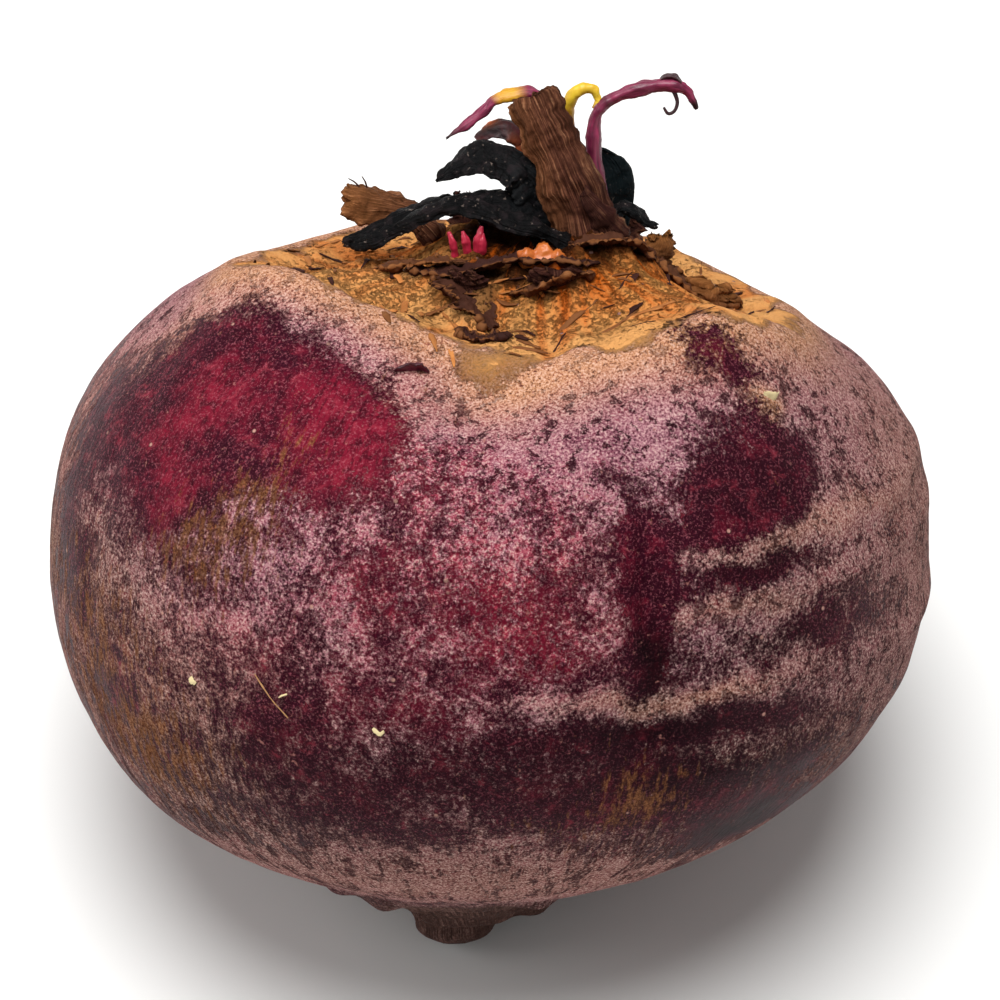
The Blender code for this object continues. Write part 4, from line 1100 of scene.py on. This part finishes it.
for number in range(150):
    around = chance.uniform(-180, 180)
    turn = math.radians(around)
    reach_out = np.interp(around, list(RIM), list(RIM.values())) * chance.uniform(0.42, 1.02)
    x, y = MOUND[0] + math.sin(turn) * reach_out, MOUND[1] - math.cos(turn) * reach_out
    heading = turn + math.pi / 2 + chance.normal(0, 0.6)
    length, half = chance.uniform(2.0, 6.5), chance.uniform(0.12, 0.55)
    ways = (math.sin(heading) * length, -math.cos(heading) * length)
    lift_up = chance.uniform(0.0, 0.4)
    chip = strip(
        on_crown([(x, y, -0.3), (x + ways[0] * 0.5, y + ways[1] * 0.5, 0.25 * lift_up),
                  (x + ways[0], y + ways[1], lift_up)], hug=True),
        (half * 0.7, half, half * 0.4), 0.14, chance.uniform(-0.3, 0.3), uneven=0.4,
        side=(math.cos(heading), math.sin(heading), 0), ring=10, steps=8, torn=0.5, seed=float(number))
    crumple(chip, dents=((1.2, 0.18),), seed=number * 0.37)
    level = chance.choice([0.0, 0.25, 0.55, 0.85], p=[0.3, 0.3, 0.25, 0.15])
    litter.append(shaded(chip, tone=lambda s, w, p: level))
finished("crown_litter", litter, leaf_skin, None)

# ---------------------------------------------------------------------------------------
# Bits on the skin: two straws and three chips that dried on with the soil, and a sliver of
# red skin that lifted where the crown was scraped. All lie flat, stuck to the root.


def on_skin(*spots):
    """Points just over the root's skin in mm, from (azimuth, lift, height) in degrees and mm."""
    points = []
    for azimuth_deg, lift_deg, over in spots:
        turn, rise_angle = math.radians(azimuth_deg), math.radians(lift_deg)
        way = Vector((math.sin(turn) * math.cos(rise_angle), -math.cos(turn) * math.cos(rise_angle),
                      math.sin(rise_angle)))
        hit, normal = crown_tree.ray_cast(way * 0.2, -way)[:2]
        points.append(hit / MM + normal * over)
    return points


straws = []
for spots, half in (
    (((-41.1, -2.0, 0.1), (-40.7, -2.3, 0.3), (-40.2, -2.7, 0.2)), 0.3),
    (((-27.4, -2.0, 0.1), (-27.0, -1.7, 0.35), (-26.4, -1.5, 0.1)), 0.2),
    (((-30.9, 0.6, 0.1), (-28.6, -2.2, 0.3), (-26.4, -4.8, 0.1)), 0.08),
    (((46.5, 34.0, 0.0), (48.0, 33.2, 0.3), (49.5, 33.4, 0.0)), 0.5),
    (((-15.0, -5.0, 0.0), (-14.2, -5.6, 0.25), (-13.6, -5.4, 0.0)), 0.2),
):
    straw = strip(on_skin(*spots), (half * 0.7, half, half * 0.6), 0.35, 0.2, side=(1, 0, 1), ring=12,
                  steps=24, uneven=0.3, seed=half)
    crumple(straw, dents=((1, 0.08),), seed=80.0)
    bleach = 0.9 if half > 0.1 else 0.2
    straws.append(shaded(straw, tone=lambda s, w, p: 0.5, bleached=lambda s, w, p: bleach))
finished("dried_straws", straws, leaf_skin, None)

sliver = strip(on_skin((-20.5, 45.6, 0.0), (-18.0, 46.4, 0.5), (-15.5, 46.8, 0.5), (-13.6, 46.6, 0.1)),
               (0.5, 0.95, 0.8, 0.3), 0.3, 0.3, side=(0, -1, 1), ring=20, steps=36, uneven=0.4, seed=5.0)
crumple(sliver, dents=((1.2, 0.15),), seed=81.0)
shaded(sliver, golden=lambda s, w, p: 0, withered=lambda s, w, p: 0.35 + 0.5 * (abs(w) > 0.8))
finished("lifted_skin_sliver", [sliver], fresh_red, None)

# ---------------------------------------------------------------------------------------
# Floor, light and camera: a sheet of white paper, a large softbox high in front, a weak one
# low at the left, an even white room, and a long lens that looks down on the front.

floor_build = bmesh.new()
bmesh.ops.create_grid(floor_build, x_segments=1, y_segments=1, size=3)
floor_mesh = bpy.data.meshes.new("floor")
floor_build.to_mesh(floor_mesh)
floor_build.free()
floor = bpy.data.objects.new("floor", floor_mesh)
bpy.context.scene.collection.objects.link(floor)
paper = new_material("white_paper")
node(paper, "OutputMaterial", {
    "Surface": node(paper, "BsdfPrincipled", {"Base Color": "#f6f6f4", "Roughness": 0.9})["BSDF"],
})
floor_mesh.materials.append(paper)

world = bpy.data.worlds.new("studio")
world.use_nodes = True
world.node_tree.nodes["Background"].inputs["Color"].default_value = (1, 1, 1, 1)
world.node_tree.nodes["Background"].inputs["Strength"].default_value = 0.27
bpy.context.scene.world = world


def softbox(name, azimuth_deg, elevation_deg, distance, size, power):
    """An area light that faces the beetroot, placed by angles about its upright axis."""
    turn, rise = math.radians(azimuth_deg), math.radians(elevation_deg)
    way = Vector((math.sin(turn) * math.cos(rise), -math.cos(turn) * math.cos(rise), math.sin(rise)))
    lamp = bpy.data.lights.new(name, "AREA")
    lamp.shape = "DISK"
    lamp.size = size
    lamp.energy = power
    light = bpy.data.objects.new(name, lamp)
    bpy.context.scene.collection.objects.link(light)
    aim = (-way).to_track_quat("-Z", "Y").to_matrix().to_4x4()
    light.matrix_world = LAID_BACK @ Matrix.Translation(way * distance) @ aim


softbox("key_softbox", -4, 56, 0.9, 0.6, 10.2)
softbox("left_fill", -75, 25, 0.9, 0.6, 2.0)

# A 150 mm lens, in the root's upright frame: 18 degrees up and 472.5 mm from its target.
CAMERA_RISE = math.radians(18)
CAMERA_TARGET = Vector((1.1, 0, 6.2)) * MM
CAMERA_DISTANCE = 0.4725
camera_way = Vector((0, -math.cos(CAMERA_RISE), math.sin(CAMERA_RISE)))
camera_data = bpy.data.cameras.new("camera")
camera_data.lens = 150
camera = bpy.data.objects.new("camera", camera_data)
bpy.context.scene.collection.objects.link(camera)
camera.matrix_world = (
    LAID_BACK
    @ Matrix.Translation(CAMERA_TARGET + camera_way * CAMERA_DISTANCE)
    @ (-camera_way).to_track_quat("-Z", "Y").to_matrix().to_4x4()
)
bpy.context.scene.camera = camera
bpy.context.scene.view_settings.view_transform = "Standard"
